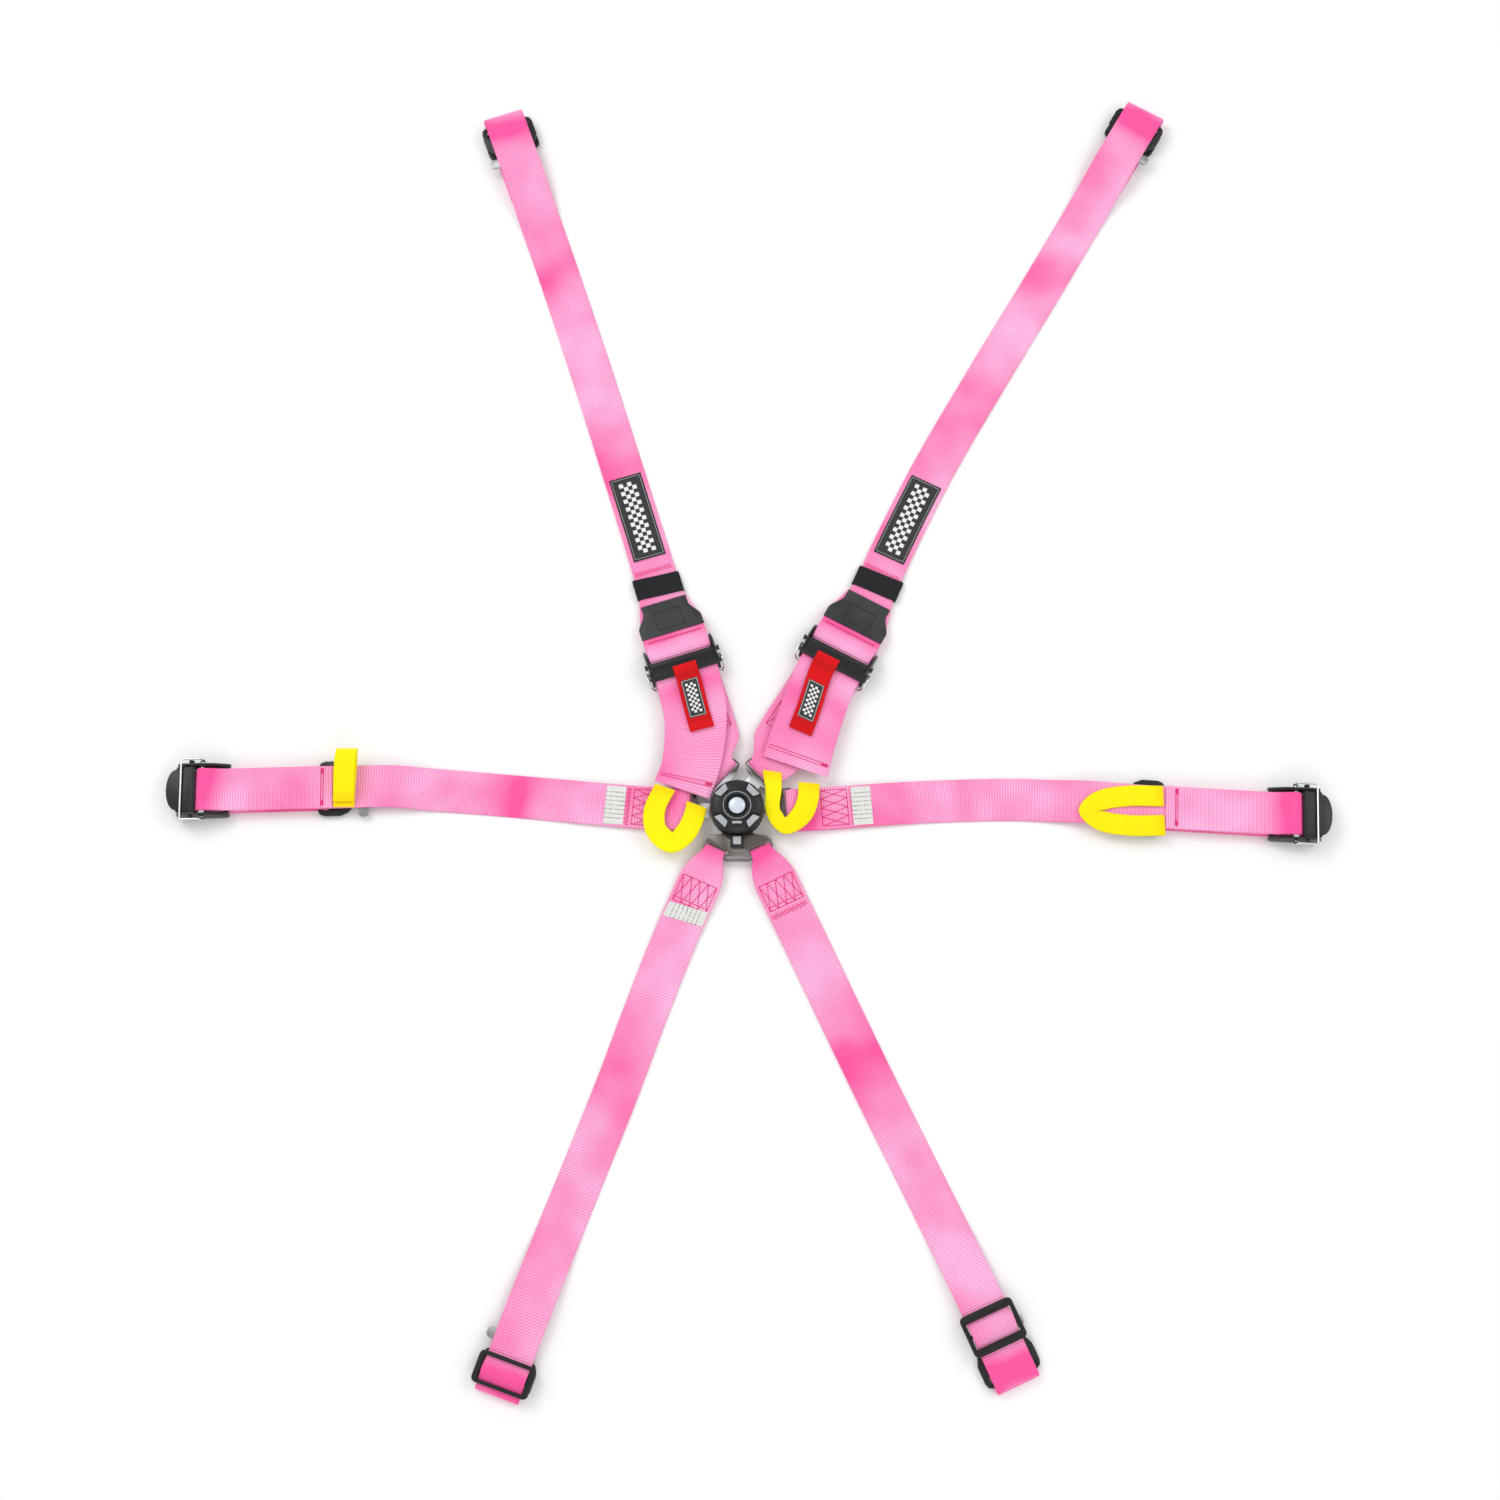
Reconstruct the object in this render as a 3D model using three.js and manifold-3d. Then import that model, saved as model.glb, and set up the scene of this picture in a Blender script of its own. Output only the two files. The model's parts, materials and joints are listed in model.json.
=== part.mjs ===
// Six-point racing harness laid out flat: cam-lock buckle, two shoulder belts, two lap belts and two
// crotch belts, each with its adjuster or slide and a snap-hook bracket.
// Millimetres, +Z up. The origin is the centre of the buckle's back plate, on the surface it lies on.
// +X points to the right-hand lap belt, +Y towards the shoulder belts.

import * as THREE from 'three';
import { mergeVertices } from 'three/addons/utils/BufferGeometryUtils.js';
import Module from 'manifold-3d';

const wasm = await Module();
wasm.setup();

// ---------------------------------------------------------------- driving dimensions

const WEB = 2.2; // thickness of the belt webbing
const NARROW = 50.8; // two inch webbing
const WIDE = 76.2; // three inch webbing
const PULL = 25; // width of the pull loops
const TAB = 29; // width of the red lever tabs
const TAB_THICK = 2;
const GAP = 0.3; // running gap between touching pieces
const WRAP_GAP = 0.5; // room between a bar and the strap that goes round it

const STEEL = 2.5; // thickness of tongues and crotch plate
const TONGUE_Z = 7; // underside of tongues and crotch plate
const PIN_CIRCLE = 18.5; // latch pins stand on this radius
const PIN_R = 2.6;
const TONGUE_HOLE_R = 3.3;
const HOUSING_R = 28;
const HOUSING_WALL = 3;
const HOUSING_TOP = 16;
const CLEAR_R = 30; // loops and wings stay outside this radius
const KNOB_R = 31.5;
const KNOB_BOTTOM = 16.5;
const KNOB_TOP = 33;
const BUCKLE_TURN = -3; // the buckle lies turned a little to the right

const FLOOR_WEB = 1.4; // height of the middle of a strap that lies on the surface
const BRACKET_THICK = 3;
const SLIDE_THICK = 3;
const SHOULDER_SLIDE_Z = 3.8;
const CROTCH_SLIDE_Z = 12.2;

// Direction of each latch opening, in degrees from +X
const SHOULDER_LEFT_ANGLE = 111;
const SHOULDER_RIGHT_ANGLE = 59.5;
const LAP_LEFT_ANGLE = 180.9;
const LAP_RIGHT_ANGLE = -0.9;
const CROTCH_ANGLE = 270;
const LATCH_ANGLES = [
  SHOULDER_LEFT_ANGLE, SHOULDER_RIGHT_ANGLE, LAP_LEFT_ANGLE, LAP_RIGHT_ANGLE, CROTCH_ANGLE,
];

// ---------------------------------------------------------------- materials

const FINISHES = {
  webbing: { color: 0xff5cb4, roughness: 0.8, metalness: 0 },
  pull_webbing: { color: 0xfff000, roughness: 0.8, metalness: 0 },
  tab_webbing: { color: 0xf01818, roughness: 0.7, metalness: 0 },
  black_steel: { color: 0x18191a, roughness: 0.45, metalness: 0.6 },
  dark_nickel: { color: 0x5a5250, roughness: 0.3, metalness: 0.9 },
  bright_steel: { color: 0xd8dade, roughness: 0.2, metalness: 1 },
  black_plastic: { color: 0x1c1e20, roughness: 0.5, metalness: 0 },
  grey_plastic: { color: 0xa8abae, roughness: 0.5, metalness: 0 },
};

const group = new THREE.Group();

function addPart(name, geometry, finish, frame = group) {
  const mesh = new THREE.Mesh(geometry, new THREE.MeshStandardMaterial(FINISHES[finish]));
  mesh.name = name;
  frame.add(mesh);
  return mesh;
}

// ---------------------------------------------------------------- solids

function solidOf(geometry) {
  const bare = geometry.clone();
  bare.deleteAttribute('normal');
  bare.deleteAttribute('uv');
  const merged = mergeVertices(bare, 1e-4);
  const vertProperties = new Float32Array(merged.attributes.position.array);
  const triVerts = new Uint32Array(merged.index.array);
  return new wasm.Manifold(new wasm.Mesh({ numProp: 3, vertProperties, triVerts }));
}

function geometryOf(solid) {
  const mesh = solid.getMesh();
  const geometry = new THREE.BufferGeometry();
  geometry.setAttribute('position', new THREE.BufferAttribute(mesh.vertProperties, mesh.numProp));
  geometry.setIndex(new THREE.BufferAttribute(mesh.triVerts, 1));
  geometry.computeVertexNormals();
  return geometry;
}

function join(...geometries) {
  return geometryOf(geometries.map(solidOf).reduce((whole, next) => whole.add(next)));
}

function cut(body, ...tools) {
  return geometryOf(tools.map(solidOf).reduce((whole, tool) => whole.subtract(tool), solidOf(body)));
}

function box(x0, x1, y0, y1, z0, z1) {
  const geometry = new THREE.BoxGeometry(x1 - x0, y1 - y0, z1 - z0);
  return geometry.translate((x0 + x1) / 2, (y0 + y1) / 2, (z0 + z1) / 2);
}

function disc(x, y, radius, z0, z1, sides = 24) {
  const geometry = new THREE.CylinderGeometry(radius, radius, z1 - z0, sides);
  return geometry.rotateX(Math.PI / 2).translate(x, y, (z0 + z1) / 2);
}

// A rod across the belt, along the local Y axis
function crossRod(x, z, radius, halfLength, sides = 14) {
  return new THREE.CylinderGeometry(radius, radius, 2 * halfLength, sides).translate(x, 0, z);
}

function plate(points, z0, z1) {
  const shape = new THREE.Shape(points.map(([x, y]) => new THREE.Vector2(x, y)));
  const geometry = new THREE.ExtrudeGeometry(shape, { depth: z1 - z0, bevelEnabled: false });
  return geometry.translate(0, 0, z0);
}

function turned(profile, sides = 36) {
  const points = profile.map(([r, z]) => new THREE.Vector2(r, z));
  return new THREE.LatheGeometry(points, sides).rotateX(Math.PI / 2);
}

// A plate outlined in the XZ plane and extruded along Y, such as the cheek of an adjuster
function cheek(points, y0, y1) {
  const shape = new THREE.Shape(points.map(([x, z]) => new THREE.Vector2(x, z)));
  const geometry = new THREE.ExtrudeGeometry(shape, { depth: y1 - y0, bevelEnabled: false });
  return geometry.rotateX(Math.PI / 2).translate(0, y1, 0);
}

// ---------------------------------------------------------------- lanes and ribbons

const radians = THREE.MathUtils.degToRad;

// A lane is the line that a belt follows in plan, measured in millimetres from its first point
function lane(points) {
  const curve = new THREE.SplineCurve(points.map(([x, y]) => new THREE.Vector2(x, y)));
  const length = curve.getLength();
  return { curve, length };
}

// Stations from a list of [x, y, heading, height, width]
function listed(rows) {
  return rows.map(([x, y, heading, z, width]) => ({ x, y, z, heading, width }));
}

// A place on a lane: its position, and its heading in degrees away from the buckle
function placeOn(route, along) {
  const inside = THREE.MathUtils.clamp(along, 0, route.length);
  const point = route.curve.getPointAt(inside / route.length);
  const tangent = route.curve.getTangentAt(inside / route.length);
  point.addScaledVector(tangent, along - inside);
  const heading = THREE.MathUtils.radToDeg(Math.atan2(tangent.y, tangent.x));
  return { x: point.x, y: point.y, heading };
}

// A station of a ribbon, given in the frame of a place: u outward, v to the left, z up
function station(place, u, z, width, v = 0) {
  const angle = radians(place.heading);
  const x = place.x + u * Math.cos(angle) - v * Math.sin(angle);
  const y = place.y + u * Math.sin(angle) + v * Math.cos(angle);
  return { x, y, z, heading: place.heading, width };
}

// Stations along a lane from [distance, height] pairs
function along(route, pairs, width = NARROW) {
  return pairs.map(([s, z]) => station(placeOn(route, s), 0, z, width));
}

// Interpolates the angle without a jump where it passes half a turn
function smoothHeadings(stations) {
  const headings = [stations[0].heading];
  for (const next of stations.slice(1)) {
    const last = headings[headings.length - 1];
    const step = ((next.heading - last + 540) % 360) - 180;
    headings.push(last + step);
  }
  return headings;
}

// Stations of a strap that goes round a cross bar, between two angles in the upright plane
function aroundBar(place, u, z, radius, from, to, width) {
  const stops = 4;
  const stations = [];
  for (let i = 0; i <= stops; i += 1) {
    const angle = radians(THREE.MathUtils.lerp(from, to, i / stops));
    stations.push(station(place, u + radius * Math.cos(angle), z + radius * Math.sin(angle), width));
  }
  return stations;
}

// Stations of a strap that goes under a slide's outer bars and over its middle one
function throughSlide(route, middle, slideZ) {
  const wave = [[-15.5, -2.4], [-12.5, -1.5], [-3, 4.5], [0, 5.5], [3, 4.5], [12.5, -1.5], [15.5, -2.4]];
  return along(route, wave.map(([s, z]) => [middle + s, slideZ + z]));
}

// A flat band of constant thickness that follows its stations: a box bent along a smooth route
function ribbon(stations, thickness = WEB, steps = 2) {
  const spans = stations.length - 1;
  const pieces = spans * steps;
  const curve = new THREE.CatmullRomCurve3(
    stations.map(({ x, y, z }) => new THREE.Vector3(x, y, z)), false, 'centripetal');
  const headings = smoothHeadings(stations);
  const geometry = new THREE.BoxGeometry(1, 1, 1, 1, pieces, 1);
  const position = geometry.attributes.position;
  for (let i = 0; i < position.count; i += 1) {
    const t = position.getY(i) + 0.5;
    const span = Math.min(Math.floor(t * spans + 1e-6), spans - 1);
    const part = t * spans - span;
    const heading = radians(THREE.MathUtils.lerp(headings[span], headings[span + 1], part));
    const width = THREE.MathUtils.lerp(stations[span].width, stations[span + 1].width, part);
    const centre = curve.getPoint(t);
    const tangent = curve.getTangent(t);
    const side = new THREE.Vector3(-Math.sin(heading), Math.cos(heading), 0);
    const normal = new THREE.Vector3().crossVectors(tangent, side).normalize();
    centre.addScaledVector(side, -position.getX(i) * width);
    centre.addScaledVector(normal, position.getZ(i) * thickness);
    position.setXYZ(i, centre.x, centre.y, centre.z);
  }
  return geometry;
}

// A frame for rigid hardware: its local X axis points along the heading of a place
function frameAt(place, parent = group) {
  const frame = new THREE.Group();
  frame.position.set(place.x, place.y, 0);
  frame.rotation.z = radians(place.heading);
  parent.add(frame);
  return frame;
}

// ---------------------------------------------------------------- the belts' lanes

const SHOULDER_LEFT = lane([[-19.5, 44], [-67, 187], [-141, 429], [-213, 656], [-300, 908]]);
const SHOULDER_RIGHT = lane([[31.5, 45], [122, 192], [246, 442], [342, 607], [441, 778], [520, 914]]);
const LAP_LEFT = lane([[-62, -1], [-161, 8], [-284, 20], [-408, 28], [-482, 26], [-626, 22], [-660, 21]]);
const LAP_RIGHT = lane([[64, -1], [191, 9], [303, 14], [414, 9], [501, 2], [652, -7], [690, -8]]);
const CROTCH_LEFT = lane([[-27, -51], [-48, -97], [-88, -191], [-127, -301], [-208, -510], [-262, -658]]);
const CROTCH_RIGHT = lane([[28.5, -50], [50, -95], [94, -187], [144, -295], [244, -502], [309, -646]]);

// ---------------------------------------------------------------- buckle

function buckle() {
  const frame = frameAt({ x: 0, y: 0, heading: BUCKLE_TURN });
  const back = join(
    turned([[0, 0], [29.5, 0], [31, 1.5], [31, 3], [0, 3]]),
    disc(0, 0, 6, 2.5, 6.2),
  );
  addPart('buckle_back_plate', back, 'black_steel', frame);

  const wall = turned([
    [HOUSING_R - HOUSING_WALL, 3 + GAP], [HOUSING_R, 3 + GAP], [HOUSING_R, HOUSING_TOP],
    [HOUSING_R - HOUSING_WALL, HOUSING_TOP], [HOUSING_R - HOUSING_WALL, 3 + GAP],
  ]);
  const windows = LATCH_ANGLES.map((angle) => {
    const opening = box(20, 34, -8.2, 8.2, TONGUE_Z - 1, TONGUE_Z + STEEL + 1);
    return opening.rotateZ(radians(angle - BUCKLE_TURN));
  });
  addPart('buckle_housing', cut(wall, ...windows), 'black_plastic', frame);

  const bolt = turned([[0, 6.5], [3.6, 6.5], [3.6, 27.3], [7, 27.3], [7, 29], [6, 29.6], [0, 29.6]], 24);
  addPart('centre_bolt', bolt, 'bright_steel', frame);

  const carrierRing = turned([[6, 12], [24, 12], [24, 14], [6, 14], [6, 12]]);
  const pins = LATCH_ANGLES.map((angle) => {
    const pin = disc(PIN_CIRCLE, 0, PIN_R, TONGUE_Z - 0.8, 12.5, 10);
    return pin.rotateZ(radians(angle - BUCKLE_TURN));
  });
  addPart('latch_carrier', join(carrierRing, ...pins), 'bright_steel', frame);

  addPart('return_spring', returnSpring(), 'bright_steel', frame);

  const cam = turned([[15, 18.6], [25.4, 18.6], [25.4, 21], [15, 21], [15, 18.6]]);
  addPart('cam_ring', cam, 'bright_steel', frame);
  addPart('knob', knob(), 'black_plastic', frame);
  const cap = turned([[0, 29.9], [10.3, 29.9], [10.3, 31.2], [8.5, 32.4], [5, 33.2], [0, 33.6]], 32);
  addPart('knob_cap', cap, 'bright_steel', frame);
}

// Helical compression spring between the latch carrier and the knob
function returnSpring() {
  const turns = 3;
  const wire = 0.8;
  const coilRadius = 9;
  const low = 14 + GAP + wire;
  const high = 24 - GAP - wire;
  const points = [];
  for (let i = 0; i <= turns * 10; i += 1) {
    const angle = (i / 10) * 2 * Math.PI;
    const height = low + ((high - low) * i) / (turns * 10);
    points.push(new THREE.Vector3(coilRadius * Math.cos(angle), coilRadius * Math.sin(angle), height));
  }
  const section = new THREE.Shape();
  section.absarc(0, 0, wire, 0, 2 * Math.PI);
  const extrudePath = new THREE.CatmullRomCurve3(points);
  return new THREE.ExtrudeGeometry(section, { steps: turns * 12, curveSegments: 3, extrudePath });
}

// Round knob with four raised spokes between four pockets, and a recess for the cap
function knob() {
  const body = turned([
    [4.4, 24], [26, 24], [26, KNOB_BOTTOM], [KNOB_R - 1, KNOB_BOTTOM], [KNOB_R, 18], [KNOB_R, 26],
    [29.5, 30], [24, 32.4], [17, KNOB_TOP], [13.5, KNOB_TOP], [12.5, 32], [12.5, 27], [4.4, 27], [4.4, 24],
  ]);
  const pockets = [45, 135, 225, 315].map((angle) => {
    const pocket = plate([[18, -6.5], [28.5, -10], [34, -10], [34, 10], [28.5, 10], [18, 6.5]], 30, 36);
    return pocket.rotateZ(radians(angle));
  });
  return cut(body, ...pockets);
}

// Cover over the foot of the crotch plate, with the push button that frees it
function tailCover() {
  const body = join(
    box(-7.8, 7.8, -46, -32.6, TONGUE_Z + STEEL + GAP, 19.5),
    box(-7.8, 7.8, -34, -30.6, TONGUE_Z + STEEL + GAP, 15.8),
  );
  const pocket = box(-5, 5, -44.1, -34, 13, 25);
  addPart('tail_cover', cut(body, pocket), 'black_plastic');
  addPart('release_button', box(-4.7, 4.7, -43.8, -34.3, 15.6, 20.2), 'grey_plastic');
}

function crotchPlate() {
  const outline = [
    [0, -12], [20, -29], [26, -30], [34, -31], [40.5, -36], [42, -43], [40, -47.5], [19, -58.5],
    [16, -59.5], [13.5, -62], [-13.5, -62], [-16, -59.5], [-19, -59.5], [-39, -50], [-41.5, -44],
    [-40, -38], [-33, -31], [-28, -30], [-18, -29],
  ];
  const wings = cut(plate(outline, TONGUE_Z, TONGUE_Z + STEEL), disc(0, 0, CLEAR_R, 0, 20, 48));
  const neck = box(-6.2, 6.2, -36, -12, TONGUE_Z, TONGUE_Z + STEEL);
  const body = join(wings, neck);
  const pinHole = disc(0, -PIN_CIRCLE, TONGUE_HOLE_R, 0, 20);
  const footSlot = box(-12, 12, -58.5, -54.5, 0, 20);
  const slots = [CROTCH_LEFT, CROTCH_RIGHT].map((route) => {
    const place = placeOn(route, 0);
    const slot = box(-7.6, -2.4, -13.1, 13.1, 0, 20);
    return slot.rotateZ(radians(place.heading)).translate(place.x, place.y, 0);
  });
  addPart('crotch_plate', cut(body, pinHole, footSlot, ...slots), 'dark_nickel');
}

// ---------------------------------------------------------------- tongues

// A latch plate: a nose with a pin hole, a neck, and a loop whose bar may stand askew
function tongue(name, noseAngle, barPlace, barHalf) {
  const low = TONGUE_Z;
  const high = TONGUE_Z + STEEL;
  const reach = Math.hypot(barPlace.x, barPlace.y) - 12;
  const nose = join(
    disc(PIN_CIRCLE, 0, 6.2, low, high),
    box(PIN_CIRCLE, 35, -6.2, 6.2, low, high),
    box(31, reach, -9, 9, low, high),
  ).rotateZ(radians(noseAngle));
  const end = barHalf + 1.6;
  const loop = plate([
    [-14, -12], [-12, -end + 6], [-9, -end], [0, -end], [3, -end + 3],
    [3, end - 3], [0, end], [-9, end], [-12, end - 6], [-14, 12],
  ], low, high);
  loop.rotateZ(radians(barPlace.heading)).translate(barPlace.x, barPlace.y, 0);
  const clearLoop = cut(loop, disc(0, 0, CLEAR_R, 0, 20, 48));
  const slot = box(-8, -3, -barHalf, barHalf, 0, 20);
  slot.rotateZ(radians(barPlace.heading)).translate(barPlace.x, barPlace.y, 0);
  const hole = disc(PIN_CIRCLE, 0, TONGUE_HOLE_R, 0, 20).rotateZ(radians(noseAngle));
  addPart(name, cut(join(nose, clearLoop), slot, hole), 'bright_steel');
}

// Stations of a strap that starts under the belt, wraps a tongue's bar and comes back on top
function tongueLoop(bar, next, width, fullWidth) {
  const middle = TONGUE_Z + STEEL / 2;
  return [
    station(next, 0, FLOOR_WEB, fullWidth),
    station(next, -18, FLOOR_WEB, fullWidth),
    station(bar, 3, middle - 4, width),
    station(bar, -3, middle - 2.9, width),
    station(bar, -5.6, middle, width),
    station(bar, -3, middle + 2.9, width),
    station(bar, 3, middle + 3.6, width),
  ];
}

// ---------------------------------------------------------------- snap-hook brackets and slides

const HOOK_CENTRE = 56; // distance from the webbing bar to the middle of the throat
const GATE_PIVOT = [38, 9];

// Bracket lying on its back: the webbing bar at x = 0, the hook pointing along local X
function bracket(name, place, z, mirrored) {
  const frame = frameAt(place);
  const sign = mirrored ? -1 : 1;
  const low = z;
  const high = z + BRACKET_THICK;
  const body = join(
    plate([
      [-3, -26], [-0.5, -31], [5, -33], [24, -33], [33, -29], [42, -17], [58, -16],
      [58, 16], [42, 17], [33, 29], [24, 33], [5, 33], [-0.5, 31], [-3, 26],
    ], low, high),
    disc(58, 0, 16, low, high, 32),
  );
  const webSlot = box(3, 10.5, -26.5, 26.5, low - 5, high + 5);
  const throat = disc(HOOK_CENTRE, 0, 8, low - 5, high + 5);
  const mouth = box(50, 60, Math.min(0, 20 * sign), Math.max(0, 20 * sign), low - 5, high + 5);
  const pivot = disc(GATE_PIVOT[0], GATE_PIVOT[1] * sign, 2.4, low - 5, high + 5, 16);
  addPart(`${name}_bracket`, cut(body, webSlot, throat, mouth, pivot), 'black_steel', frame);

  const block = 9.5 * sign;
  const tip = 15 * sign;
  const gate = join(
    plate([[33, 5 * sign], [60, 8 * sign], [60, tip], [33, 13 * sign]], high + GAP, high + GAP + 1.8),
    plate([
      [45, 10 * sign], [57, 10 * sign], [57, 32 * sign], [54, 35 * sign], [48, 35 * sign], [45, 32 * sign],
    ], high + GAP, high + GAP + 1.8),
    box(51.2, 58.8, Math.min(block, tip), Math.max(block, tip), low + GAP, high + 1),
    disc(GATE_PIVOT[0], GATE_PIVOT[1] * sign, 2.1, low + GAP, high + 1, 16),
  );
  addPart(`${name}_gate`, gate, 'bright_steel', frame);
}

const SLIDE_HALF = 18;
const LONG_SLIDE_HALF = 23.5;
const SLIDE_BAR = 4.4;
const LONG_SLIDE_BAR = 9.1;

function slide(name, place, z, long = false) {
  const half = long ? LONG_SLIDE_HALF : SLIDE_HALF;
  const side = long ? 31.5 : 33;
  const body = plate([
    [-half, -side + 5], [-half + 1.5, -side + 1.5], [-half + 5, -side], [half - 5, -side],
    [half - 1.5, -side + 1.5], [half, -side + 5], [half, side - 5], [half - 1.5, side - 1.5],
    [half - 5, side], [-half + 5, side], [-half + 1.5, side - 1.5], [-half, side - 5],
  ], z, z + SLIDE_THICK);
  const inner = half - (long ? LONG_SLIDE_BAR : SLIDE_BAR);
  const windows = [
    box(-inner, -SLIDE_BAR / 2, -26.5, 26.5, z - 5, z + 8),
    box(SLIDE_BAR / 2, inner, -26.5, 26.5, z - 5, z + 8),
  ];
  addPart(name, cut(body, ...windows), 'black_steel', frameAt(place));
}

// ---------------------------------------------------------------- adjusters

// Two cheeks joined by fixed cross bars; holes take the roller and the lever's pivots
function adjusterFrame(name, frame, inside, outline, bars, holes) {
  const wall = 2.5;
  const pieces = [
    cheek(outline, inside, inside + wall),
    cheek(outline, -inside - wall, -inside),
    ...bars,
  ];
  const bores = holes.map(([x, z, radius]) => crossRod(x, z, radius, inside + wall + 5));
  addPart(name, cut(join(...pieces), ...bores), 'black_steel', frame);
}

function roller(name, frame, x, z, radius, inside) {
  const drum = crossRod(x, z, radius, inside - GAP, 18);
  const shaft = crossRod(x, z, 2, inside + 5, 12);
  const heads = [1, -1].map((sign) => {
    const head = new THREE.CylinderGeometry(3.2, 3.2, 1.8, 12);
    return head.translate(x, sign * (inside + 4.2), z);
  });
  addPart(name, join(drum, shaft, ...heads), 'bright_steel', frame);
}

// ---------------------------------------------------------------- shoulder belts

const SHOULDER_INSIDE = 39.5;
const SHOULDER_ROLLER = { u: -12, z: 9.2, radius: 4 };
const SHOULDER_REAR_BAR = { u: 5.5, z: 10, radius: 4 };
const SHOULDER_LEVER_PIVOT = { u: -5, z: 18.5 };

function shoulderAdjuster(side, place) {
  const frame = frameAt(place);
  const outline = [
    [-26, 3], [-20, 1], [18, 1], [18, 8], [12, 17], [2, 22], [-8, 22], [-22, 14], [-26, 9],
  ];
  const rear = crossRod(SHOULDER_REAR_BAR.u, SHOULDER_REAR_BAR.z, SHOULDER_REAR_BAR.radius, 40);
  const { u, z, radius } = SHOULDER_ROLLER;
  adjusterFrame(`shoulder_${side}_adjuster_frame`, frame, SHOULDER_INSIDE, outline, [rear], [
    [u, z, 2.4], [SHOULDER_LEVER_PIVOT.u, SHOULDER_LEVER_PIVOT.z, 2.4],
  ]);
  roller(`shoulder_${side}_roller`, frame, u, z, radius, SHOULDER_INSIDE);

  const lever = join(
    plate([
      [-23.5, -42], [-21.5, -44.5], [-18.4, -44.5], [-17.4, -38.5], [-2, -38.5],
      [-2, 38.5], [-17.4, 38.5], [-18.4, 44.5], [-21.5, 44.5], [-23.5, 42],
    ], 17.2, 19.8),
    crossRod(SHOULDER_LEVER_PIVOT.u, SHOULDER_LEVER_PIVOT.z, 2, SHOULDER_INSIDE + 5, 12),
  );
  addPart(`shoulder_${side}_lever`, lever, 'black_steel', frame);
}

function shoulderBelt(side, route, noseAngle, barHeading, adjusterAt, tabShift, places) {
  const name = `shoulder_${side}`;
  const bar = { ...placeOn(route, 0), heading: barHeading };
  const adjuster = placeOn(route, adjusterAt);
  tongue(`${name}_tongue`, noseAngle, bar, 22);
  shoulderAdjuster(side, adjuster);

  const { u, z, radius } = SHOULDER_ROLLER;
  const wrap = radius + WRAP_GAP + WEB / 2;
  const lower = [
    ...tongueLoop(bar, placeOn(route, 60), 42.5, 64),
    station(placeOn(route, 34), 0, 8.5, 71),
    station(placeOn(route, 70), 0, 4.6, WIDE),
    station(placeOn(route, 110), 0, 4.2, WIDE),
    station(adjuster, u - 14, 3.8, WIDE),
    ...aroundBar(adjuster, u, z, wrap, -90, 90, WIDE),
    station(adjuster, u - 12, z + wrap - 0.3, WIDE),
    ...listed(places.tail),
  ];
  addPart(`${name}_lower_webbing`, ribbon(lower), 'webbing');

  const end = route.length;
  const rear = SHOULDER_REAR_BAR;
  const barWrap = rear.radius + WRAP_GAP + WEB / 2;
  const upper = [
    station(adjuster, 52, 2.2, 66),
    station(adjuster, 30, 2.4, WIDE),
    ...aroundBar(adjuster, rear.u, rear.z, barWrap, 270, 90, WIDE),
    station(adjuster, 30, 11, WIDE),
    station(adjuster, 58, 5.5, 68),
    station(adjuster, 88, 5, NARROW),
    ...along(route, [
      [adjusterAt + 140, 2.5], [adjusterAt + 260, FLOOR_WEB], [adjusterAt + 400, FLOOR_WEB],
      [adjusterAt + 540, FLOOR_WEB], [end - 150, 4], [end - 100, 16], [end - 60, 18.2], [end - 24, 18.2],
    ]),
    ...aroundBar(placeOn(route, end), -8.3, 9.9, 8.3, 90, -90, NARROW),
    ...throughSlide(route, end - 34.5, SHOULDER_SLIDE_Z).reverse(),
    ...along(route, [[end - 62, 1.6], [end - 112, 1.6]]),
  ];
  addPart(`${name}_upper_webbing`, ribbon(upper), 'webbing');

  const back = placeOn(route, end);
  slide(`${name}_slide`, placeOn(route, end - 34.5), SHOULDER_SLIDE_Z);
  const hookPlace = station(back, -14, 0, 0);
  bracket(`${name}`, { x: hookPlace.x, y: hookPlace.y, heading: back.heading + 180 }, 10.8, side === 'left');

  const tab = [
    station(adjuster, -13, 21.2, TAB, tabShift),
    station(adjuster, -22, 21.2, TAB, tabShift),
    station(adjuster, -32, 20.2, TAB, tabShift),
    ...listed(places.tab),
  ];
  addPart(`${name}_lever_tab`, ribbon(tab, TAB_THICK), 'tab_webbing');
  addPart(`${name}_pull_loop`, ribbon(listed(places.pull)), 'pull_webbing');
}

// ---------------------------------------------------------------- lap belts

const LAP_INSIDE = 28.5;
const LAP_ROLLER = { u: 0, z: 15, radius: 4 };
const LAP_REAR_BAR = { u: 20, z: 6.2, radius: 3 };
const LAP_LEVER_PIVOT = { u: 12, z: 18.5 };

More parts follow.
